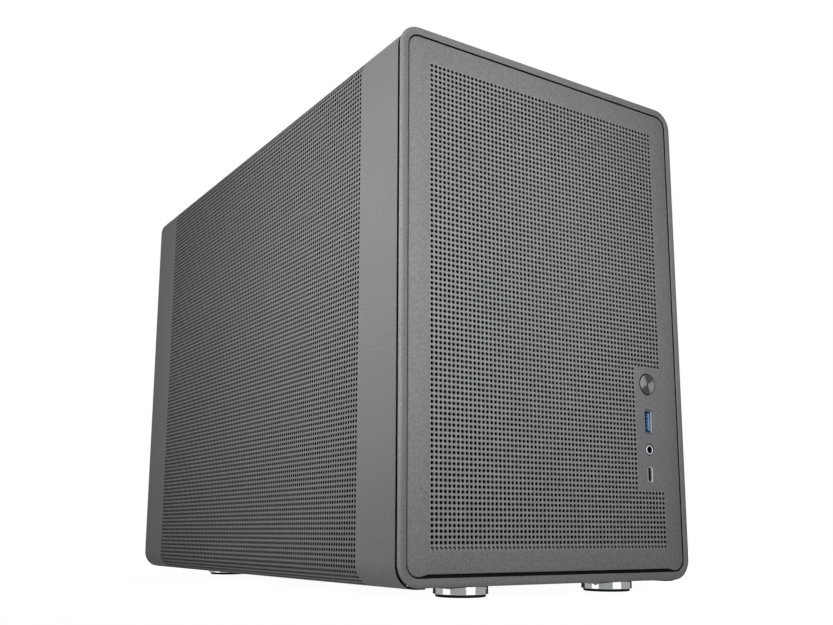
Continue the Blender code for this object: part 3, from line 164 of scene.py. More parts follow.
# How far the side panels stand lower than their solids, and reach under the floor sheet
SIDE_DROP_TOP = 0.6 * MM
SIDE_DROP_BOTTOM = 1.2 * MM
SIDE_TUCK = 2.0 * MM

# Sheet metal
SHEET = 1.0 * MM
WRAP_RADIUS = 11.8 * MM
TOP_FOLD_RADIUS = 2.0 * MM

# Dust mesh behind the side panels and the top panel, a black sheet that also darkens the holes as painted
# shade
MESH_DEPTH = 1.05 * MM
MESH_THICKNESS = 0.2 * MM
MESH_MARGIN = 3.0 * MM

# Plastic frame round the front
FRAME_RADIUS = 12.2 * MM
EDGE_WIDTH = 1.4 * MM
EDGE_DEPTH = 1.1 * MM
EDGE_STEPS = 6
EDGE_LINE = 0.12 * MM
BORDER = 4.7 * MM
BORDER_ROUND = 0.3 * MM
BORDER_STEPS = 2
LIP_DEPTH = 1.3 * MM
SKIRT_INSET = 3.0 * MM
SKIRT_WALL = 2.0 * MM
LEDGE_INSET = 12.0 * MM
LEDGE_FACE = 3.1 * MM
LEDGE_THICKNESS = 2.0 * MM
REAR_FLANGE_INSET = 9.0 * MM
CORNER_STEPS = 14

# Front panel, and the strip behind its lowest row of holes
PANEL_RADIUS = 6.8 * MM
PANEL_RIM = 0.5 * MM
RIM_STEPS = 3
PULL_HALF = 91.0 * MM
PULL_HEIGHT = 1.2 * MM
PULL_TAPER = 5.0 * MM
STIFFENER_HEIGHT = 5.0 * MM
STIFFENER_RISE = 0.1 * MM
STIFFENER_FRONT = 0.03 * MM
STIFFENER_BACK = 0.25 * MM
STIFFENER_BEVEL = 0.05 * MM

# Holes round the button and the sockets, and the sockets in them
PORT_CLEARANCE = 0.35 * MM
PORT_SINK = 0.3 * MM
PORT_STEPS = 6
WIDE_PORT_RADIUS = 0.9 * MM
WIDE_PORT_WALL = 0.8 * MM
NARROW_PORT_RADIUS = 2.0 * MM
NARROW_PORT_WALL = 0.4 * MM
JACK_RADIUS = 3.4 * MM
JACK_BORE = 2.0 * MM
JACK_BORE_DEPTHS = (2.0 * MM, 0.3 * MM)
BEZEL_RADIUS = 2.85 * MM
BEZEL_EDGE = 0.25 * MM
BEZEL_DEPTH = 0.1 * MM
SHELL_EDGE = 0.1 * MM
SHELL_LEAST_RADIUS = 0.1 * MM
SHELL_SHADE_START = 1.5 * MM
SHELL_MOUTH = 9.0 * MM
# Finish number of each band of a shell, from its back over the outside to the mouth; finish 1 is painted
# shade
SHELL_FINISHES = (1, 2, 2, 2, 0, 1)
TONGUE_THICKNESS = 1.0 * MM
TONGUE_BEVEL = 0.1 * MM
# Navy plate on the wide tongue's left face, painted shade: its sides, start, margin and bevel
PAINTED_SHADE_PLATE_SIDES = (-0.12 * MM, -0.02 * MM)
PAINTED_SHADE_PLATE_START = 1.0 * MM
PAINTED_SHADE_PLATE_MARGIN = 0.2 * MM
PAINTED_SHADE_PLATE_BEVEL = 0.03 * MM
CONTACT_PLACES = (-3.5 * MM, -1.0 * MM, 1.0 * MM, 3.5 * MM)
CONTACT_SIDES = (-0.3 * MM, -0.1 * MM)
CONTACT_REACH = (1.1 * MM, 6.0 * MM)
CONTACT_HALF = 0.5 * MM
CONTACT_BEVEL = 0.05 * MM
NARROW_TONGUE_HALF = (0.35 * MM, 3.3 * MM)
NARROW_TONGUE_START = 1.0 * MM
NARROW_TONGUE_GAP = 0.2 * MM

# Feet, and the cap of the power button with the bands of its profile that are black as painted shade
FOOT_EDGE = 0.12 * MM
FOOT_EXTRA = 0.3 * MM
FOOT_ROUND = 0.5 * MM
FOOT_PAD_GAP = 0.3 * MM
CAP_GAP = 0.45 * MM
CAP_RECESS = 0.1 * MM
CAP_EDGE = 0.2 * MM
CAP_PAINTED_SHADE_BANDS = (5, 6, 7)

# Facets of turned pieces and of rounded corners, and the angle past which an edge is sharp
TURNED_SIDES = 64
ROUND_STEPS = 4
SHARP_ANGLE = math.radians(30.0)


def linear(value):
    """Linear value of an sRGB grey between 0 and 255."""
    share = value / 255.0
    if share <= 0.04045:
        return share / 12.92
    return ((share + 0.055) / 1.055) ** 2.4


def grey(value):
    """Linear colour of an sRGB grey between 0 and 255."""
    level = linear(value)
    return (level, level, level, 1.0)


class Nodes:
    """Short calls for building one material's node tree."""

    def __init__(self, name):
        self.material = bpy.data.materials.new(name)
        self.material.use_nodes = True
        self.tree = self.material.node_tree
        self.shader = self.tree.nodes["Principled BSDF"]
        self.place = self.tree.nodes.new("ShaderNodeTexCoord").outputs["Object"]

    def node(self, kind, **values):
        made = self.tree.nodes.new(kind)
        for name, value in values.items():
            setattr(made, name, value)
        return made

    def link(self, output, target):
        self.tree.links.new(output, target)

    def noise(self, scale, detail=2.0, roughness=0.5):
        made = self.node("ShaderNodeTexNoise")
        made.inputs["Scale"].default_value = scale
        made.inputs["Detail"].default_value = detail
        made.inputs["Roughness"].default_value = roughness
        self.link(self.place, made.inputs["Vector"])
        return made.outputs["Fac"]

    def spread(self, source, low, high, from_low=0.3, from_high=0.7):
        """Map a noise of about 0.3 to 0.7 onto another range."""
        made = self.node("ShaderNodeMapRange")
        made.inputs["From Min"].default_value = from_low
        made.inputs["From Max"].default_value = from_high
        made.inputs["To Min"].default_value = low
        made.inputs["To Max"].default_value = high
        self.link(source, made.inputs["Value"])
        return made.outputs["Result"]

    def math(self, operation, first, second=0.0):
        made = self.node("ShaderNodeMath", operation=operation)
        for socket, value in zip(made.inputs, (first, second)):
            if isinstance(value, (int, float)):
                socket.default_value = value
            else:
                self.link(value, socket)
        return made.outputs["Value"]

    def colour(self, colour, factor):
        """A colour times a factor that comes from another node."""
        made = self.node("ShaderNodeVectorMath", operation="SCALE")
        made.inputs[0].default_value = colour[:3]
        self.link(factor, made.inputs["Scale"])
        self.link(made.outputs["Vector"], self.shader.inputs["Base Color"])

    def roughness(self, source, low, high):
        self.link(self.spread(source, low, high), self.shader.inputs["Roughness"])

    def bump(self, height, strength, distance):
        made = self.node("ShaderNodeBump")
        made.inputs["Strength"].default_value = strength
        made.inputs["Distance"].default_value = distance
        self.link(height, made.inputs["Height"])
        self.link(made.outputs["Normal"], self.shader.inputs["Normal"])

    def split(self, centre=(0.0, 0.0, 0.0)):
        """The X, Y and Z distance from a centre."""
        offset = self.node("ShaderNodeVectorMath", operation="SUBTRACT")
        self.link(self.place, offset.inputs[0])
        offset.inputs[1].default_value = centre
        parts = self.node("ShaderNodeSeparateXYZ")
        self.link(offset.outputs["Vector"], parts.inputs["Vector"])
        return parts.outputs["X"], parts.outputs["Y"], parts.outputs["Z"]


def powder_coat(name, level, roughness, bump):
    """Satin paint with a fine grain, a faint cloudiness and grain in the gloss."""
    made = Nodes(name)
    grain = made.spread(made.noise(GRAIN_SCALE, *GRAIN_DETAIL), *GRAIN_RANGE)
    cloud = made.spread(made.noise(CLOUD_SCALE), *CLOUD_RANGE)
    made.colour(grey(level), made.math("MULTIPLY", grain, cloud))
    made.roughness(made.noise(SHEEN_SCALE), roughness - SHEEN_SPREAD, roughness + SHEEN_SPREAD)
    made.shader.inputs["Specular IOR Level"].default_value = PAINT_GLOSS
    made.bump(made.noise(COAT_BUMP_SCALE, *GRAIN_DETAIL), bump, COAT_BUMP_DEPTH)
    return made.material


def plastic(name, colour, roughness, scale=900.0, bump=0.25, gloss=0.3):
    """Moulded plastic with a fine texture."""
    made = Nodes(name)
    made.colour(colour, made.spread(made.noise(scale), *PLASTIC_RANGE))
    sheen = made.noise(scale * PLASTIC_SHEEN_RATIO)
    made.roughness(sheen, roughness - PLASTIC_SPREAD, roughness + PLASTIC_SPREAD)
    made.shader.inputs["Specular IOR Level"].default_value = gloss
    made.bump(made.noise(scale * PLASTIC_BUMP_RATIO), bump, PLASTIC_BUMP_DEPTH)
    return made.material


def metal(name, colour, roughness, spread=0.05, metallic=1.0):
    """Bare or plated metal with faint marks from handling."""
    made = Nodes(name)
    marks = made.noise(METAL_SCALE, *METAL_DETAIL)
    made.colour(colour, made.spread(marks, *METAL_RANGE))
    made.roughness(marks, max(roughness - spread, METAL_LEAST_ROUGHNESS), roughness + spread)
    made.shader.inputs["Metallic"].default_value = metallic
    made.bump(made.noise(METAL_SCALE * METAL_BUMP_RATIO), METAL_BUMP, METAL_BUMP_DEPTH)
    return made.material


def mesh_cloth(name):
    """Black dust mesh: a fine over-and-under weave as bump and shade."""
    made = Nodes(name)
    x, _, z = made.split()
    turn = math.tau / WEAVE_PITCH
    weave = made.math("MULTIPLY", made.math("SINE", made.math("MULTIPLY", x, turn)),
                      made.math("SINE", made.math("MULTIPLY", z, turn)))
    made.colour(WEAVE_COLOUR, made.spread(weave, *WEAVE_RANGE, -1.0, 1.0))
    made.shader.inputs["Roughness"].default_value = WEAVE_ROUGHNESS
    made.shader.inputs["Specular IOR Level"].default_value = WEAVE_GLOSS
    made.bump(weave, WEAVE_BUMP, WEAVE_BUMP_DEPTH)
    return made.material


def turned_metal_painted_highlights(name, centre):
    """Dark metal turned on a lathe: rings round the centre and two bright fans of painted highlight."""
    made = Nodes(name)
    x, _, z = made.split(centre)
    squares = made.math("ADD", made.math("MULTIPLY", x, x), made.math("MULTIPLY", z, z))
    radius = made.math("SQRT", squares)
    angle = made.math("ARCTAN2", z, x)
    # Painted highlight: the colour is lighter in two fans by angle round the centre
    highlight_fans = made.math("COSINE", made.math("MULTIPLY", made.math("ADD", angle, HIGHLIGHT_FAN_TURN), 2.0))
    painted_highlights = made.spread(highlight_fans, *HIGHLIGHT_FAN_RANGE, -HIGHLIGHT_FAN_EDGE, HIGHLIGHT_FAN_EDGE)
    dot = made.spread(radius, DOT_SHADE, 1.0, *DOT_RADII)
    made.colour(grey(TURNED_LEVEL), made.math("MULTIPLY", painted_highlights, dot))
    rings = made.math("SINE", made.math("MULTIPLY", radius, math.tau / TURNED_RING_PITCH))
    made.bump(rings, TURNED_RING_BUMP, TURNED_RING_DEPTH)
    made.shader.inputs["Roughness"].default_value = TURNED_ROUGHNESS
    made.shader.inputs["Metallic"].default_value = TURNED_METALLIC
    return made.material


def seen_rays(tree):
    """1 for the rays of the camera, of reflections and of transmission, and 0 for all others."""
    path = tree.nodes.new("ShaderNodeLightPath")
    seen = tree.nodes.new("ShaderNodeMath")
    seen.operation = "MAXIMUM"
    reflected = tree.nodes.new("ShaderNodeMath")
    reflected.operation = "MAXIMUM"
    tree.links.new(path.outputs["Is Glossy Ray"], reflected.inputs[0])
    tree.links.new(path.outputs["Is Transmission Ray"], reflected.inputs[1])
    tree.links.new(path.outputs["Is Camera Ray"], seen.inputs[0])
    tree.links.new(reflected.outputs["Value"], seen.inputs[1])
    return seen.outputs["Value"]


def studio():
    """White to the camera and in reflections, and a soft even light for all else."""
    world = bpy.data.worlds.new("studio")
    bpy.context.scene.world = world
    world.use_nodes = True
    tree = world.node_tree
    tree.nodes.clear()
    output = tree.nodes.new("ShaderNodeOutputWorld")
    white = tree.nodes.new("ShaderNodeBackground")
    white.inputs["Color"].default_value = (1.0, 1.0, 1.0, 1.0)
    soft = tree.nodes.new("ShaderNodeBackground")
    soft.inputs["Strength"].default_value = WORLD_STRENGTH
    place = tree.nodes.new("ShaderNodeTexCoord")
    split = tree.nodes.new("ShaderNodeSeparateXYZ")
    level = tree.nodes.new("ShaderNodeMapRange")
    level.inputs["From Min"].default_value = -1.0
    ramp = tree.nodes.new("ShaderNodeValToRGB")
    below, above = ramp.color_ramp.elements
    below.position = WORLD_RAMP[0]
    below.color = (*WORLD_BELOW, 1.0)
    above.position = WORLD_RAMP[1]
    above.color = (*WORLD_ABOVE, 1.0)
    mix = tree.nodes.new("ShaderNodeMixShader")
    for start, end in (
        (place.outputs["Generated"], split.inputs["Vector"]),
        (split.outputs["Z"], level.inputs["Value"]),
        (level.outputs["Result"], ramp.inputs["Fac"]),
        (ramp.outputs["Color"], soft.inputs["Color"]),
        (seen_rays(tree), mix.inputs[0]),
        (soft.outputs["Background"], mix.inputs[1]),
        (white.outputs["Background"], mix.inputs[2]),
        (mix.outputs["Shader"], output.inputs["Surface"]),
    ):
        tree.links.new(start, end)


def cards():
    """Grey cards round the set, with the white of the background between them."""
    for name, start, end, shade in CARDS:
        material = bpy.data.materials.new(name)
        material.use_nodes = True
        tree = material.node_tree
        tree.nodes.clear()
        emission = tree.nodes.new("ShaderNodeEmission")
        emission.inputs["Color"].default_value = grey(shade)
        output = tree.nodes.new("ShaderNodeOutputMaterial")
        tree.links.new(emission.outputs["Emission"], output.inputs["Surface"])
        steps = max(int((end - start) / CARD_STEP), 1)
        angles = [math.radians(start + (end - start) * step / steps) for step in range(steps + 1)]
        points = [(CARD_DISTANCE * math.cos(angle), CARD_DISTANCE * math.sin(angle), level)
                  for angle in angles for level in CARD_HEIGHT]
        faces = [(2 * step, 2 * step + 2, 2 * step + 3, 2 * step + 1) for step in range(steps)]
        mesh = bpy.data.meshes.new(name)
        mesh.from_pydata(points, [], faces)
        mesh.materials.append(material)
        card = bpy.data.objects.new(name, mesh)
        bpy.context.scene.collection.objects.link(card)
        card.visible_camera = False
        card.visible_diffuse = False
        card.visible_transmission = False
        card.visible_shadow = False


def floor():
    """Pale floor, white to the camera but for a faint shadow under a painted shade near the case, and
    left out of reflections.
    """
    material = bpy.data.materials.new("pale_floor")
    material.use_nodes = True
    tree = material.node_tree
    tree.nodes.clear()
    output = tree.nodes.new("ShaderNodeOutputMaterial")
    pale = tree.nodes.new("ShaderNodeBsdfDiffuse")
    pale.inputs["Color"].default_value = (*FLOOR_COLOUR, 1.0)
    shaded = tree.nodes.new("ShaderNodeBsdfDiffuse")
    shaded.inputs["Color"].default_value = (FLOOR_SHADE, FLOOR_SHADE, FLOOR_SHADE, 1.0)
    place = tree.nodes.new("ShaderNodeTexCoord")
    length = tree.nodes.new("ShaderNodeVectorMath")
    length.operation = "LENGTH"
    # Painted shade: the floor's white is dimmed near the case, so the shadow of its diffuse part shows
    # there
    painted_dim = tree.nodes.new("ShaderNodeMapRange")
    painted_dim.inputs["From Min"].default_value = FLOOR_NEAR
    painted_dim.inputs["From Max"].default_value = FLOOR_FAR
    painted_dim.inputs["To Min"].default_value = FLOOR_PAINTED_SHADE
    painted_dim.inputs["To Max"].default_value = 0.0
    left = tree.nodes.new("ShaderNodeMath")
    left.operation = "SUBTRACT"
    left.inputs[0].default_value = 1.0
    white = tree.nodes.new("ShaderNodeEmission")
    both = tree.nodes.new("ShaderNodeAddShader")
    mix = tree.nodes.new("ShaderNodeMixShader")
    for start, end in (
        (place.outputs["Object"], length.inputs[0]),
        (length.outputs["Value"], painted_dim.inputs["Value"]),
        (painted_dim.outputs["Result"], left.inputs[1]),
        (left.outputs["Value"], white.inputs["Strength"]),
        (shaded.outputs["BSDF"], both.inputs[0]),
        (white.outputs["Emission"], both.inputs[1]),
        (seen_rays(tree), mix.inputs[0]),
        (pale.outputs["BSDF"], mix.inputs[1]),
        (both.outputs["Shader"], mix.inputs[2]),
        (mix.outputs["Shader"], output.inputs["Surface"]),
    ):
        tree.links.new(start, end)
    mesh = bpy.data.meshes.new("floor")
    mesh.from_pydata([(x, y, 0.0) for x, y in circle(FLOOR_RADIUS)], [], [list(range(TURNED_SIDES))])
    mesh.materials.append(material)
    made = bpy.data.objects.new("floor", mesh)
    bpy.context.scene.collection.objects.link(made)
    made.location.z = -FLOOR_GAP
    made.visible_glossy = False


def lamps():
    """Square softboxes that the camera does not see."""
    for name, place, aim, size, spread, power in LAMPS:
        data = bpy.data.lights.new(name, "AREA")
        data.size = size
        data.spread = math.radians(spread)
        data.energy = power
        made = bpy.data.objects.new(name, data)
        bpy.context.scene.collection.objects.link(made)
        made.visible_camera = False
        made.location = place
        made.rotation_euler = (Vector(aim) - Vector(place)).to_track_quat("-Z", "Y").to_euler()


def camera():
    """The photo's camera."""
    data = bpy.data.cameras.new("photo_camera")
    data.lens = CAMERA_LENS
    data.sensor_width = CAMERA_SENSOR
    data.shift_x, data.shift_y = CAMERA_SHIFT
    data.clip_start = CAMERA_CLIP
    made = bpy.data.objects.new("photo_camera", data)
    scene = bpy.context.scene
    scene.collection.objects.link(made)
    made.matrix_world = (Matrix.Translation(CAMERA_PLACE)
                         @ Matrix.Rotation(math.radians(CAMERA_YAW), 4, "Z")
                         @ Matrix.Rotation(math.radians(90.0 + CAMERA_PITCH), 4, "X")
                         @ Matrix.Rotation(math.radians(CAMERA_ROLL), 4, "Z"))
    scene.camera = made
    scene.view_settings.view_transform = "Standard"


class Piece:
    """Vertices and faces of one piece, with a finish number for each face."""

    def __init__(self):
        self.points = []
        self.faces = []
        self.finishes = []

    def point(self, where):
        self.points.append(tuple(where))
        return len(self.points) - 1

    def face(self, corners, finish=0, flip=False):
        self.faces.append(corners[::-1] if flip else corners)
        self.finishes.append(finish)

    def strip(self, first, second, closed=False, finish=0, flip=False):
        """Faces between two equally long rows of points."""
        count = len(first)
        for index in range(count if closed else count - 1):
            after = (index + 1) % count
            self.face([first[index], second[index], second[after], first[after]], finish, flip)

    def build(self, name, finishes, body, nodes=()):
        mesh = bpy.data.meshes.new(name)
        mesh.from_pydata(self.points, [], self.faces)
        for finish in finishes:
            mesh.materials.append(finish)
        mesh.polygons.foreach_set("material_index", self.finishes)
        mesh.shade_smooth()
        mesh.set_sharp_from_angle(angle=SHARP_ANGLE)
        made = bpy.data.objects.new(name, mesh)
        bpy.context.scene.collection.objects.link(made)
        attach(made, body)
        if nodes:
            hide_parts(*nodes)


# Faces between the corners of a cell and its hole, counter-clockwise. Numbers 0 to 3 are the
# cell's corners, and numbers from 4 are the hole's corners, all counted from the first quarter.
OCTAGON = ((0, 6, 5, 4), (0, 1, 6), (1, 8, 7, 6), (1, 2, 8), (2, 10, 9, 8), (2, 3, 10), (3, 4, 11, 10),
           (3, 0, 4))
HEXAGON = ((0, 5, 4), (0, 1, 6, 5), (1, 7, 6), (1, 2, 7), (2, 8, 7), (2, 3, 9, 8), (3, 4, 9), (3, 0, 4))


def perforate(piece, across, along, holed, surface, pattern, radius, depth, flip=False, web=0):
    """A grid of cells between lines, with a hole where holed says True and no cell where it says None.

    surface gives the point for a place on the sheet, and the direction into the sheet there. web is
    the finish number of the metal between the holes.
    """
    lines = [[piece.point(surface(u, v)[0]) for v in along] for u in across]
    sides = sum(len(face) - 2 for face in pattern) - 4
    reach = radius * math.sqrt(math.tau / (sides * math.sin(math.tau / sides)))
    offsets = [(reach * math.cos(math.tau * index / sides), reach * math.sin(math.tau * index / sides))
               for index in range(sides)]
    for column in range(len(across) - 1):
        middle_u = (across[column] + across[column + 1]) / 2
        for row in range(len(along) - 1):
            state = holed(column, row)
            if state is None:
                continue
            corners = [lines[column + 1][row + 1], lines[column][row + 1], lines[column][row],
                       lines[column + 1][row]]
            if not state:
                piece.face(corners, 0, flip)
                continue
            middle_v = (along[row] + along[row + 1]) / 2
            front = []
            back = []
            for offset_u, offset_v in offsets:
                where, inward = surface(middle_u + offset_u, middle_v + offset_v)
                front.append(piece.point(where))
                back.append(piece.point(where + inward * depth))
            ring = corners + front
            for face in pattern:
                piece.face([ring[number] for number in face], web, flip)
            # Hole walls take finish 1, a darker paint that is painted shade
            piece.strip(front, back, True, 1, not flip)
    return lines


def cut_edge(piece, surface, border, flip=False, finish=0):
    """The cut edge of a sheet along a row of places."""
    outer = []
    inner = []
    for place in border:
        where, inward = surface(*place)
        outer.append(piece.point(where))
        inner.append(piece.point(where + inward * SHEET))
    piece.strip(outer, inner, False, finish, flip)


def spaced(start, pitch, count):
    """Evenly spaced values."""
    return [start + pitch * index for index in range(count)]


def rounded_outline(half_width, half_height, radius, steps=CORNER_STEPS):
    """Outline of a rectangle with round corners, counter-clockwise from its right side."""
    points = []
    for quarter, (side_x, side_y) in enumerate(((1, 1), (-1, 1), (-1, -1), (1, -1))):
        for step in range(steps + 1):
            angle = (quarter + step / steps) * math.pi / 2
            points.append((side_x * (half_width - radius) + radius * math.cos(angle),
                           side_y * (half_height - radius) + radius * math.sin(angle)))
    return points


def circle(radius):
    """Points of a circle round the origin."""
    angles = [math.tau * index / TURNED_SIDES for index in range(TURNED_SIDES)]
    return [(radius * math.cos(angle), radius * math.sin(angle)) for angle in angles]


def fill_between(piece, loops, towards):
    """Flat faces inside the first loop of points and outside the others."""
    bm = bmesh.new()
    known = {}
    edges = []
    for loop in loops:
        corners = []
        for index in loop:
            corner = bm.verts.new(piece.points[index])
            known[corner] = index
            corners.append(corner)
        edges += [bm.edges.new(pair) for pair in zip(corners, corners[1:] + corners[:1])]
    filled = bmesh.ops.triangle_fill(bm, use_beauty=True, edges=edges, normal=towards)
    for made in filled["geom"]:
        if isinstance(made, bmesh.types.BMFace):
            made.normal_update()
            piece.face([known[corner] for corner in made.verts], 0, made.normal.dot(towards) < 0.0)
    bm.free()


def turned(name, profile, centre, axis, finishes, body, nodes=(), bands=()):
    """A piece turned about an axis from (radius, distance) points; bands give faces another finish."""
    piece = Piece()
    axis = Vector(axis)
    side = axis.orthogonal().normalized()
    other = axis.cross(side)
    rings = []
    for radius, distance in profile:
        level = Vector(centre) + axis * distance
        if radius == 0.0:
            rings.append([piece.point(level)] * TURNED_SIDES)
        else:
            rings.append([piece.point(level + side * x + other * y) for x, y in circle(radius)])
    for number, (ring, following) in enumerate(zip(rings, rings[1:])):
        finish = 1 if number in bands else 0
        for index in range(TURNED_SIDES):
            after = (index + 1) % TURNED_SIDES
            corners = [ring[index], following[index], following[after], ring[after]]
            piece.face(list(dict.fromkeys(corners)), finish)
    piece.build(name, finishes, body, nodes)


def rounded_corner(radius, distance, size, start, end):
    """Profile points of a round corner whose centre is at (radius, distance)."""
    angles = [math.radians(start + (end - start) * step / ROUND_STEPS) for step in range(ROUND_STEPS + 1)]
    return [(radius + size * math.cos(angle), distance + size * math.sin(angle)) for angle in angles]


def solid_box(name, low, high, bevel, finish, body, nodes=()):
    """A small box with bevelled edges."""
    bm = bmesh.new()
    bmesh.ops.create_cube(bm, size=1.0)
    low = Vector(low)
    size = Vector(high) - low
    for corner in bm.verts:
        corner.co = low + Vector(((corner.co.x + 0.5) * size.x, (corner.co.y + 0.5) * size.y,
                                  (corner.co.z + 0.5) * size.z))
    bmesh.ops.bevel(bm, geom=bm.edges, offset=bevel, segments=2, profile=0.5, affect="EDGES")
    mesh = bpy.data.meshes.new(name)
    bm.to_mesh(mesh)
    bm.free()
    mesh.materials.append(finish)
    made = bpy.data.objects.new(name, mesh)
    bpy.context.scene.collection.objects.link(made)
    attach(made, body)
    if nodes:
        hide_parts(*nodes)


def front_frame(finish, dark):
    """The plastic frame, swept round the front from one closed section, its recesses black as painted
    shade.
    """
    low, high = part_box("front_frame")
    half_width = (high.x - low.x) / 2
    half_height = (high.z - low.z) / 2
    middle = (high.z + low.z) / 2
    depth = high.y - low.y
    section = [(EDGE_WIDTH + EDGE_LINE, 0.0)]
    for step in range(EDGE_STEPS + 1):
        angle = math.pi / 2 * step / EDGE_STEPS
        section.append((EDGE_WIDTH * (1.0 - math.sin(angle)),
                        EDGE_LINE + (EDGE_DEPTH - EDGE_LINE) * (1.0 - math.cos(angle))))
    # Faces from the lip back to the border's inner wall are black: painted shade in the gap and recesses
    painted_shade_start = len(section)
    skirt_inside = SKIRT_INSET + SKIRT_WALL
    flange_front = depth - LEDGE_THICKNESS
    ledge_back = LEDGE_FACE + LEDGE_THICKNESS
    section += [
        (0.0, LIP_DEPTH), (SKIRT_INSET, LIP_DEPTH), (SKIRT_INSET, depth), (REAR_FLANGE_INSET, depth),
        (REAR_FLANGE_INSET, flange_front), (skirt_inside, flange_front), (skirt_inside, ledge_back),
        (LEDGE_INSET, ledge_back), (LEDGE_INSET, LEDGE_FACE), (BORDER, LEDGE_FACE),
    ]
    painted_shade_end = len(section)
    for step in range(BORDER_STEPS + 1):
        angle = math.pi / 2 * step / BORDER_STEPS
        section.append((BORDER - BORDER_ROUND * (1.0 - math.cos(angle)),
                        BORDER_ROUND * (1.0 - math.sin(angle))))
    piece = Piece()
    rings = []
    for inset, back in section:
        outline = rounded_outline(half_width - inset, half_height - inset, FRAME_RADIUS - inset)
        rings.append([piece.point((x, low.y + back, middle + z)) for x, z in outline])
    for number, (ring, following) in enumerate(zip(rings, rings[1:] + rings[:1])):
        piece.strip(ring, following, True, 1 if painted_shade_start <= number < painted_shade_end else 0)
    piece.build("dressed_front_frame", [finish, dark], "chassis", ["front_frame"])


def panel_outline(inset):
    """Outline of the front panel drawn in by an inset, with the finger pull in its bottom edge."""
    low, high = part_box("front_panel")
    half_width = (high.x - low.x) / 2 - inset
    half_height = (high.z - low.z) / 2 - inset
    points = rounded_outline(half_width, half_height, PANEL_RADIUS - inset)
    start = 3 * (CORNER_STEPS + 1)
    points[start:start] = [
        (-PULL_HALF, -half_height), (-PULL_HALF + PULL_TAPER, PULL_HEIGHT - half_height),
        (PULL_HALF - PULL_TAPER, PULL_HEIGHT - half_height), (PULL_HALF, -half_height),
    ]
    return [(x, (low.z + high.z) / 2 + z) for x, z in points]


def port_outlines(inset):
    """Outlines of the holes round the button and the sockets, drawn in by an inset."""
    outlines = []
    for node, radius in (("power_button", None), ("wide_port_shell", WIDE_PORT_RADIUS),
                         ("headset_jack", None), ("narrow_port_shell", NARROW_PORT_RADIUS)):
        low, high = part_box(node)
        centre_x = (low.x + high.x) / 2
        centre_z = (low.z + high.z) / 2
        half_width = (high.x - low.x) / 2 + PORT_CLEARANCE - inset
        half_height = (high.z - low.z) / 2 + PORT_CLEARANCE - inset
        if node == "headset_jack":
            half_width = JACK_RADIUS + PORT_CLEARANCE - inset
        if radius is None:
            outline = circle(half_width)
        else:
            outline = rounded_outline(half_width, half_height, radius, PORT_STEPS)
        outlines.append([(centre_x + x, centre_z + z) for x, z in outline])
    return outlines


def front_panel(paint, hole_wall_painted_shade, web_painted_light):
    """The perforated face with its plain border and rim, and the strip behind its lowest row."""
    low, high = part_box("front_panel")
    face = low.y
    field_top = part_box("front_frame")[1].z - FRONT_FIRST_ROW + ROW_PITCH / 2
    across = spaced(-FRONT_COLUMNS * COLUMN_PITCH / 2, COLUMN_PITCH, FRONT_COLUMNS + 1)
    along = spaced(field_top - FRONT_ROWS * ROW_PITCH, ROW_PITCH, FRONT_ROWS + 1)
    inward = Vector((0.0, 1.0, 0.0))

    def surface(x, z):
        return Vector((x, face, z)), inward

    def holed(column, row):
        if column >= BLOCK_COLUMN and BLOCK_BOTTOM <= row < BLOCK_TOP:
            return None
        return True

    piece = Piece()
    # The web between the holes takes finish 2, the lighter paint that is painted light
    lines = perforate(piece, across, along, holed, surface, OCTAGON, HOLE_RADIUS, FRONT_HOLE_DEPTH,
                      web=2)
    border = [lines[index][0] for index in range(FRONT_COLUMNS)]
    border += [lines[FRONT_COLUMNS][index] for index in range(BLOCK_BOTTOM)]
    border += [lines[index][BLOCK_BOTTOM] for index in range(FRONT_COLUMNS, BLOCK_COLUMN, -1)]
    border += [lines[BLOCK_COLUMN][index] for index in range(BLOCK_BOTTOM, BLOCK_TOP)]
    border += [lines[index][BLOCK_TOP] for index in range(BLOCK_COLUMN, FRONT_COLUMNS)]
    border += [lines[FRONT_COLUMNS][index] for index in range(BLOCK_TOP, FRONT_ROWS)]
    border += [lines[index][FRONT_ROWS] for index in range(FRONT_COLUMNS, 0, -1)]
    border += [lines[0][index] for index in range(FRONT_ROWS, 0, -1)]

    rings = []
    for step in range(RIM_STEPS + 1):
        angle = math.pi / 2 * step / RIM_STEPS
        inset = PANEL_RIM * (1.0 - math.sin(angle))
        back = PANEL_RIM * (1.0 - math.cos(angle))
        rings.append([piece.point((x, face + back, z)) for x, z in panel_outline(inset)])
    rings.append([piece.point((x, high.y, z)) for x, z in panel_outline(0.0)])
    for ring, following in zip(rings, rings[1:]):
        piece.strip(ring, following, True)

    loops = [rings[0], border]
    for outline, inner_outline in zip(port_outlines(0.0), port_outlines(PORT_SINK)):
        front = [piece.point((x, face, z)) for x, z in outline]
        back = [piece.point((x, face + SHEET, z)) for x, z in inner_outline]
        piece.strip(front, back, True, 0, True)
        loops.append(front)
    fill_between(piece, loops, Vector((0.0, -1.0, 0.0)))
    piece.build("dressed_front_panel", [paint, hole_wall_painted_shade, web_painted_light], "front_cover",
                ["front_panel"])
    last_row = along[0] + ROW_PITCH / 2
    sheet_back = face + SHEET
    solid_box("front_panel_stiffener",
              (across[0], sheet_back + STIFFENER_FRONT, last_row - STIFFENER_HEIGHT),
              (across[-1], sheet_back + STIFFENER_BACK, last_row + STIFFENER_RISE),
              STIFFENER_BEVEL, paint, "front_cover")


def field_columns():
    """Lines between the columns of holes in the side panels and the top panel, from the front."""
    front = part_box("front_frame")[0].y
    return spaced(front + SIDE_FIRST_COLUMN - COLUMN_PITCH / 2, COLUMN_PITCH, SIDE_COLUMNS + 1)


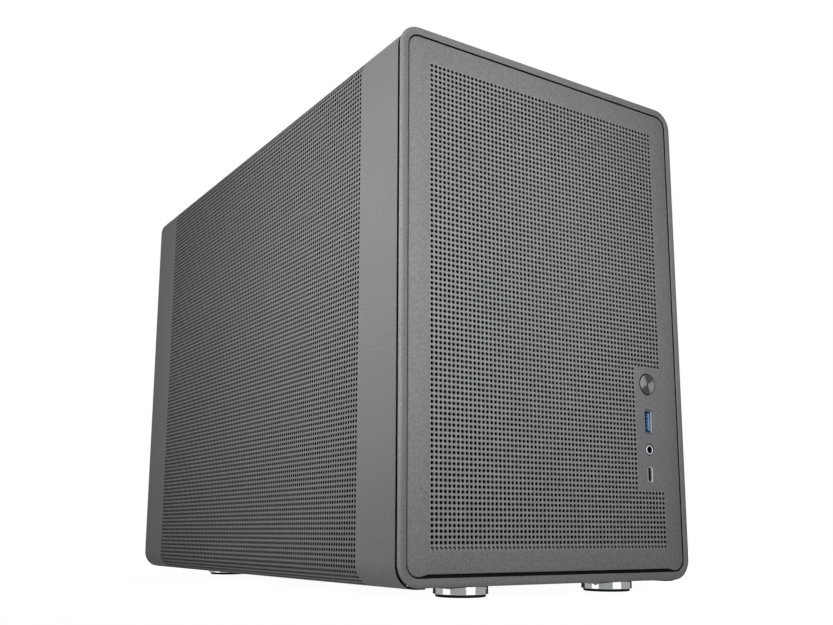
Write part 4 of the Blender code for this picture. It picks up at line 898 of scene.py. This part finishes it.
def side_panel(node, side, body, pattern, paint, hole_wall_painted_shade, mesh):
    """A side panel in two halves, each with its holes, and the dust mesh behind them, which also darkens
    the holes as painted shade.
    """
    low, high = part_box(node)
    outer = high.x if side > 0 else -low.x
    top = high.z - SIDE_DROP_TOP
    bottom = low.z - SIDE_DROP_BOTTOM
    arc = WRAP_RADIUS * math.pi / 2
    flat = top - bottom - 2 * WRAP_RADIUS
    lip = high.x - low.x - WRAP_RADIUS

    def surface(y, s):
        """s runs down the outside from the top of the flat side."""
        beyond = 0.0
        if s < 0.0:
            angle = min(-s, arc) / WRAP_RADIUS
            beyond = max(-s - arc, 0.0)
            level = top - WRAP_RADIUS + WRAP_RADIUS * math.sin(angle)
            rise = math.sin(angle)
        elif s > flat:
            angle = min(s - flat, arc) / WRAP_RADIUS
            beyond = max(s - flat - arc, 0.0)
            level = bottom + WRAP_RADIUS - WRAP_RADIUS * math.sin(angle)
            rise = -math.sin(angle)
        else:
            angle = 0.0
            level = top - WRAP_RADIUS - s
            rise = 0.0
        x = side * (outer - WRAP_RADIUS + WRAP_RADIUS * math.cos(angle) - beyond)
        return Vector((x, y, level)), Vector((-side * math.cos(angle), 0.0, -rise))

    first = SIDE_ROW_ZERO - SIDE_DROP_TOP - WRAP_RADIUS + (SIDE_TOP_ROW - 0.5) * ROW_PITCH
    rows = SIDE_BOTTOM_ROW - SIDE_TOP_ROW + 1
    field = spaced(first, ROW_PITCH, rows + 1)
    top_lines = [-arc - lip, -arc, (first - arc) / 2]
    bottom_lines = [flat + arc, flat + arc + lip + SIDE_TUCK]
    along = top_lines + field + bottom_lines
    columns = field_columns()
    half = SIDE_COLUMNS // 2
    flip = side > 0

    for name, across, at_front in (("front_half", [low.y] + columns[:half + 1], True),
                                   ("rear_half", columns[half:] + [high.y], False)):
        plain_column = 0 if at_front else len(across) - 2

        def holed(column, row):
            return column != plain_column and len(top_lines) <= row < len(top_lines) + rows

        piece = Piece()
        perforate(piece, across, along, holed, surface, pattern, SIDE_HOLE_RADIUS, SIDE_HOLE_DEPTH,
                  flip)
        end = across[0] if at_front else across[-1]
        # The front cut edge takes finish 1, the dark paint that is painted shade in the gap behind the
        # frame
        cut_edge(piece, surface, [(end, s) for s in along], at_front == flip, 1 if at_front else 0)
        cut_edge(piece, surface, [(y, along[0]) for y in across], not flip)
        cut_edge(piece, surface, [(y, along[-1]) for y in across], flip)
        piece.build(f"dressed_{node}_{name}", [paint, hole_wall_painted_shade], body, [node])

    lining = Piece()
    lines = (columns[0] - MESH_MARGIN, columns[-1] + MESH_MARGIN)
    levels = [level for level in along if -arc < level < flat + arc]
    skins = []
    for depth in (MESH_DEPTH, MESH_DEPTH + MESH_THICKNESS):
        skin = []
        for y in lines:
            places = [surface(y, s) for s in levels]
            skin.append([lining.point(where + inward * depth) for where, inward in places])
        skins.append(skin)
    outer_skin, inner_skin = skins
    lining.strip(outer_skin[0], outer_skin[1], False, 0, flip)
    lining.strip(inner_skin[0], inner_skin[1], False, 0, not flip)
    lining.build(f"{node}_dust_mesh_and_painted_shade", [mesh], body)


def top_panel(paint, hole_wall_painted_shade, mesh):
    """The perforated top with its folded sides, and the dust mesh under it, which also darkens the holes
    as painted shade.
    """
    low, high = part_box("top_panel")
    arc = TOP_FOLD_RADIUS * math.pi / 2
    flat = high.x - TOP_FOLD_RADIUS
    fold = high.z - low.z - TOP_FOLD_RADIUS

    def surface(t, y):
        """t runs across the panel from its middle."""
        side = 1.0 if t > 0.0 else -1.0
        angle = min(max(abs(t) - flat, 0.0), arc) / TOP_FOLD_RADIUS
        beyond = max(abs(t) - flat - arc, 0.0)
        reach = min(abs(t), flat) + TOP_FOLD_RADIUS * math.sin(angle)
        level = high.z - TOP_FOLD_RADIUS * (1.0 - math.cos(angle)) - beyond
        inward = Vector((-side * math.sin(angle), 0.0, -math.cos(angle)))
        return Vector((side * reach, y, level)), inward

    steps = [flat, flat + arc / 3, flat + 2 * arc / 3, flat + arc, flat + arc + fold]
    across = [-step for step in reversed(steps)]
    first = len(across)
    across += spaced(-TOP_COLUMNS * ROW_PITCH / 2, ROW_PITCH, TOP_COLUMNS + 1)
    across += steps
    along = [low.y] + field_columns() + [high.y]

    def holed(column, row):
        return first <= column < first + TOP_COLUMNS and 0 < row < len(along) - 2

    piece = Piece()
    perforate(piece, across, along, holed, surface, HEXAGON, SIDE_HOLE_RADIUS, SIDE_HOLE_DEPTH)
    cut_edge(piece, surface, [(t, low.y) for t in across])
    cut_edge(piece, surface, [(t, high.y) for t in across], True)
    piece.build("dressed_top_panel", [paint, hole_wall_painted_shade], "chassis", ["top_panel"])
    reach = TOP_COLUMNS * ROW_PITCH / 2 + MESH_MARGIN
    level = high.z - MESH_DEPTH
    solid_box("top_panel_dust_mesh_and_painted_shade", (-reach, along[1] - MESH_MARGIN, level - MESH_THICKNESS),
              (reach, along[-2] + MESH_MARGIN, level), MESH_THICKNESS / 4, mesh, "chassis")


def power_button(finish, dark):
    """The button's turned cap, black on its side as painted shade in the gap round it."""
    low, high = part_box("power_button")
    radius = (high.x - low.x) / 2 - CAP_GAP
    front = low.y + CAP_RECESS
    centre = ((low.x + high.x) / 2, front, (low.z + high.z) / 2)
    back = high.y - front
    profile = [(0.0, 0.0), (radius / 2, 0.0)]
    profile += rounded_corner(radius - CAP_EDGE, CAP_EDGE, CAP_EDGE, -90.0, 0.0)
    profile += [(radius, back), (0.0, back)]
    turned("dressed_power_button", profile, centre, (0.0, 1.0, 0.0), [finish, dark], "button",
           ["power_button"], CAP_PAINTED_SHADE_BANDS)


def feet(chrome, rubber):
    """Four chrome cups, each with a rubber pad in it."""
    for where in ("front_left", "front_right", "rear_left", "rear_right"):
        low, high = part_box(f"foot_{where}")
        radius = (high.x - low.x) / 2 + FOOT_EXTRA
        centre = ((low.x + high.x) / 2, (low.y + high.y) / 2, 0.0)
        pad_low, pad_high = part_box(f"foot_pad_{where}")
        pad = (pad_high.x - pad_low.x) / 2
        inner = pad + FOOT_PAD_GAP
        level = pad_high.z + FOOT_PAD_GAP
        profile = [(0.0, level), (inner, level), (inner, low.z)]
        profile += rounded_corner(radius - FOOT_EDGE, low.z + FOOT_EDGE, FOOT_EDGE, -90.0, 0.0)
        profile += rounded_corner(radius - FOOT_ROUND, high.z - FOOT_ROUND, FOOT_ROUND, 0.0, 90.0)
        profile += [(0.0, high.z)]
        turned(f"dressed_foot_{where}", profile, centre, (0.0, 0.0, 1.0), [chrome], "chassis",
               [f"foot_{where}"])
        profile = [(0.0, 0.0), (pad - FOOT_ROUND, 0.0)]
        profile += rounded_corner(pad - FOOT_ROUND, FOOT_ROUND, FOOT_ROUND, -90.0, 0.0)
        profile += [(pad, pad_high.z), (0.0, pad_high.z)]
        turned(f"dressed_foot_pad_{where}", profile, centre, (0.0, 0.0, 1.0), [rubber], "chassis",
               [f"foot_pad_{where}"])


def socket_shell(node, wall, radius, steel, dark, rim):
    """A thin plated shell with a dull rim, dark outside and deep inside as painted shade."""
    low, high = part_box(node)
    centre_x = (low.x + high.x) / 2
    centre_z = (low.z + high.z) / 2
    half_width = (high.x - low.x) / 2
    half_height = (high.z - low.z) / 2
    depth = high.y - low.y
    section = [
        (0.0, depth), (0.0, SHELL_EDGE), (SHELL_EDGE, 0.0), (wall - SHELL_EDGE, 0.0),
        (wall, SHELL_EDGE), (wall, SHELL_SHADE_START), (wall, SHELL_MOUTH),
    ]
    piece = Piece()
    rings = []
    for inset, back in section:
        corner = max(radius - inset, SHELL_LEAST_RADIUS)
        outline = rounded_outline(half_width - inset, half_height - inset, corner, PORT_STEPS)
        rings.append([piece.point((centre_x + x, low.y + back, centre_z + z)) for x, z in outline])
    for number, (ring, following) in enumerate(zip(rings, rings[1:])):
        piece.strip(ring, following, True, SHELL_FINISHES[number])
    piece.face(rings[-1], 1)
    piece.face(rings[0], 0, True)
    piece.build(f"dressed_{node}", [steel, dark, rim], "chassis", [node])


def sockets(blue, navy_painted_shade, contact, black, steel, dull):
    """Shells, tongues and contacts of the front sockets, and the jack's bezel and dark inside."""
    # The dark finish of each shell is painted shade: navy in the wide socket, black in the narrow one
    socket_shell("wide_port_shell", WIDE_PORT_WALL, WIDE_PORT_RADIUS, steel, navy_painted_shade, dull)
    socket_shell("narrow_port_shell", NARROW_PORT_WALL, NARROW_PORT_RADIUS, steel, black, steel)
    low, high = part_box("wide_port_tongue")
    solid_box("dressed_wide_port_tongue", low, (low.x + TONGUE_THICKNESS, high.y, high.z), TONGUE_BEVEL,
              blue, "chassis", ["wide_port_tongue"])
    # A thin navy plate on the tongue's left face: painted shade, a darker copy of the blue
    left, right = PAINTED_SHADE_PLATE_SIDES
    solid_box("wide_port_painted_shade_plate",
              (low.x + left, low.y + PAINTED_SHADE_PLATE_START, low.z + PAINTED_SHADE_PLATE_MARGIN),
              (low.x + right, high.y - PAINTED_SHADE_PLATE_MARGIN, high.z - PAINTED_SHADE_PLATE_MARGIN),
              PAINTED_SHADE_PLATE_BEVEL, navy_painted_shade, "chassis")
    left, right = CONTACT_SIDES
    start, end = CONTACT_REACH
    middle = (low.z + high.z) / 2
    for number, offset in enumerate(CONTACT_PLACES):
        z = middle + offset
        solid_box(f"wide_port_contact_{number + 1}",
                  (low.x + left, low.y + start, z - CONTACT_HALF),
                  (low.x + right, low.y + end, z + CONTACT_HALF),
                  CONTACT_BEVEL, contact, "chassis")
    low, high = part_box("narrow_port_shell")
    centre_x = (low.x + high.x) / 2
    middle = (low.z + high.z) / 2
    half_width, half_height = NARROW_TONGUE_HALF
    solid_box("narrow_port_tongue",
              (centre_x - half_width, low.y + NARROW_TONGUE_START, middle - half_height),
              (centre_x + half_width, low.y + SHELL_MOUTH - NARROW_TONGUE_GAP, middle + half_height),
              TONGUE_BEVEL, black, "chassis")
    low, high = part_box("headset_jack")
    centre = ((low.x + high.x) / 2, low.y, (low.z + high.z) / 2)
    profile = [(JACK_BORE, depth) for depth in JACK_BORE_DEPTHS]
    profile += [(JACK_BORE + BEZEL_EDGE, -BEZEL_EDGE)]
    profile += rounded_corner(BEZEL_RADIUS - BEZEL_EDGE, 0.0, BEZEL_EDGE, -90.0, 0.0)
    profile += [(BEZEL_RADIUS, BEZEL_DEPTH)]
    turned("headset_bezel", profile, centre, (0.0, 1.0, 0.0), [steel], "chassis")
    jack = frame["nodes"]["headset_jack"].data
    jack.materials.clear()
    jack.materials.append(black)


def paint_cad(finishes):
    """Give every CAD node the finish of its material slot."""
    for entry in frame["record"]["subparts"]:
        data = frame["nodes"][entry["node"]].data
        data.materials.clear()
        data.materials.append(finishes[entry["material_slot"]])


def main():
    button_low, button_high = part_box("power_button")
    paint = powder_coat("powder_coat", level=118.0, roughness=0.5, bump=0.35)
    # Painted light: a lighter copy of the powder coat for the web between the front holes
    web_painted_light = powder_coat("field_coat_painted_light", level=134.0, roughness=0.5, bump=0.35)
    # Painted shade: two darker copies of the powder coat, for the walls of the holes and the side panels'
    # front cut edge
    hole_wall_painted_shade = powder_coat("hole_edge_painted_shade", level=70.0, roughness=0.6, bump=0.2)
    dark_wall_painted_shade = powder_coat("dark_edge_painted_shade", level=30.0, roughness=0.7, bump=0.2)
    frame_plastic = powder_coat("frame_plastic", level=118.0, roughness=0.42, bump=0.25)
    chrome = metal("chrome", (0.97, 0.97, 0.98, 1.0), roughness=0.06, spread=0.02)
    rubber = plastic("rubber", (0.004, 0.004, 0.004, 1.0), roughness=0.8, gloss=0.15)
    black = plastic("black_plastic", (0.006, 0.006, 0.006, 1.0), roughness=0.6, gloss=0.1)
    blue = plastic("blue_plastic", (0.2, 0.37, 0.72, 1.0), roughness=0.4, scale=1500.0, bump=0.1)
    # Painted shade: a dark copy of the blue plastic for the deep inside of the wide socket
    navy_painted_shade = plastic("navy_painted_shade_plastic", (0.02, 0.035, 0.11, 1.0), roughness=0.5, scale=1500.0, bump=0.1)
    contact = metal("contact_metal", (0.15, 0.24, 0.45, 1.0), roughness=0.4, metallic=0.3)
    steel = metal("port_steel", (0.85, 0.86, 0.9, 1.0), roughness=0.35, metallic=0.3)
    dull = metal("dull_steel", (0.2, 0.2, 0.22, 1.0), roughness=0.5, metallic=0.5)
    turned_painted_finish = turned_metal_painted_highlights("turned_button_painted_highlights", (button_low + button_high) / 2)
    filter_mesh = mesh_cloth("filter_mesh")
    finishes = {
        "frame_plastic": frame_plastic,
        "powder_coat": paint,
        "filter_mesh": filter_mesh,
        "chassis_steel": powder_coat("black_steel", level=36.0, roughness=0.5, bump=0.3),
        "screw_steel": metal("screw_steel", (0.05, 0.05, 0.05, 1.0), roughness=0.35),
        "brass": metal("brass", (0.72, 0.52, 0.24, 1.0), roughness=0.25),
        "black_plastic": black,
        "button_metal": turned_painted_finish,
        "circuit_board": plastic("circuit_board", (0.01, 0.05, 0.02, 1.0), roughness=0.35),
        "port_steel": steel,
        "blue_plastic": blue,
        "chrome": chrome,
        "rubber": rubber,
    }
    paint_cad(finishes)
    camera()
    front_frame(frame_plastic, black)
    front_panel(paint, hole_wall_painted_shade, web_painted_light)
    side_panel("left_panel", -1, "left_cover", OCTAGON, paint, dark_wall_painted_shade, filter_mesh)
    side_panel("right_panel", 1, "right_cover", HEXAGON, paint, dark_wall_painted_shade, filter_mesh)
    top_panel(paint, dark_wall_painted_shade, filter_mesh)
    power_button(turned_painted_finish, black)
    feet(chrome, rubber)
    sockets(blue, navy_painted_shade, contact, black, steel, dull)
    studio()
    floor()
    cards()
    lamps()


main()
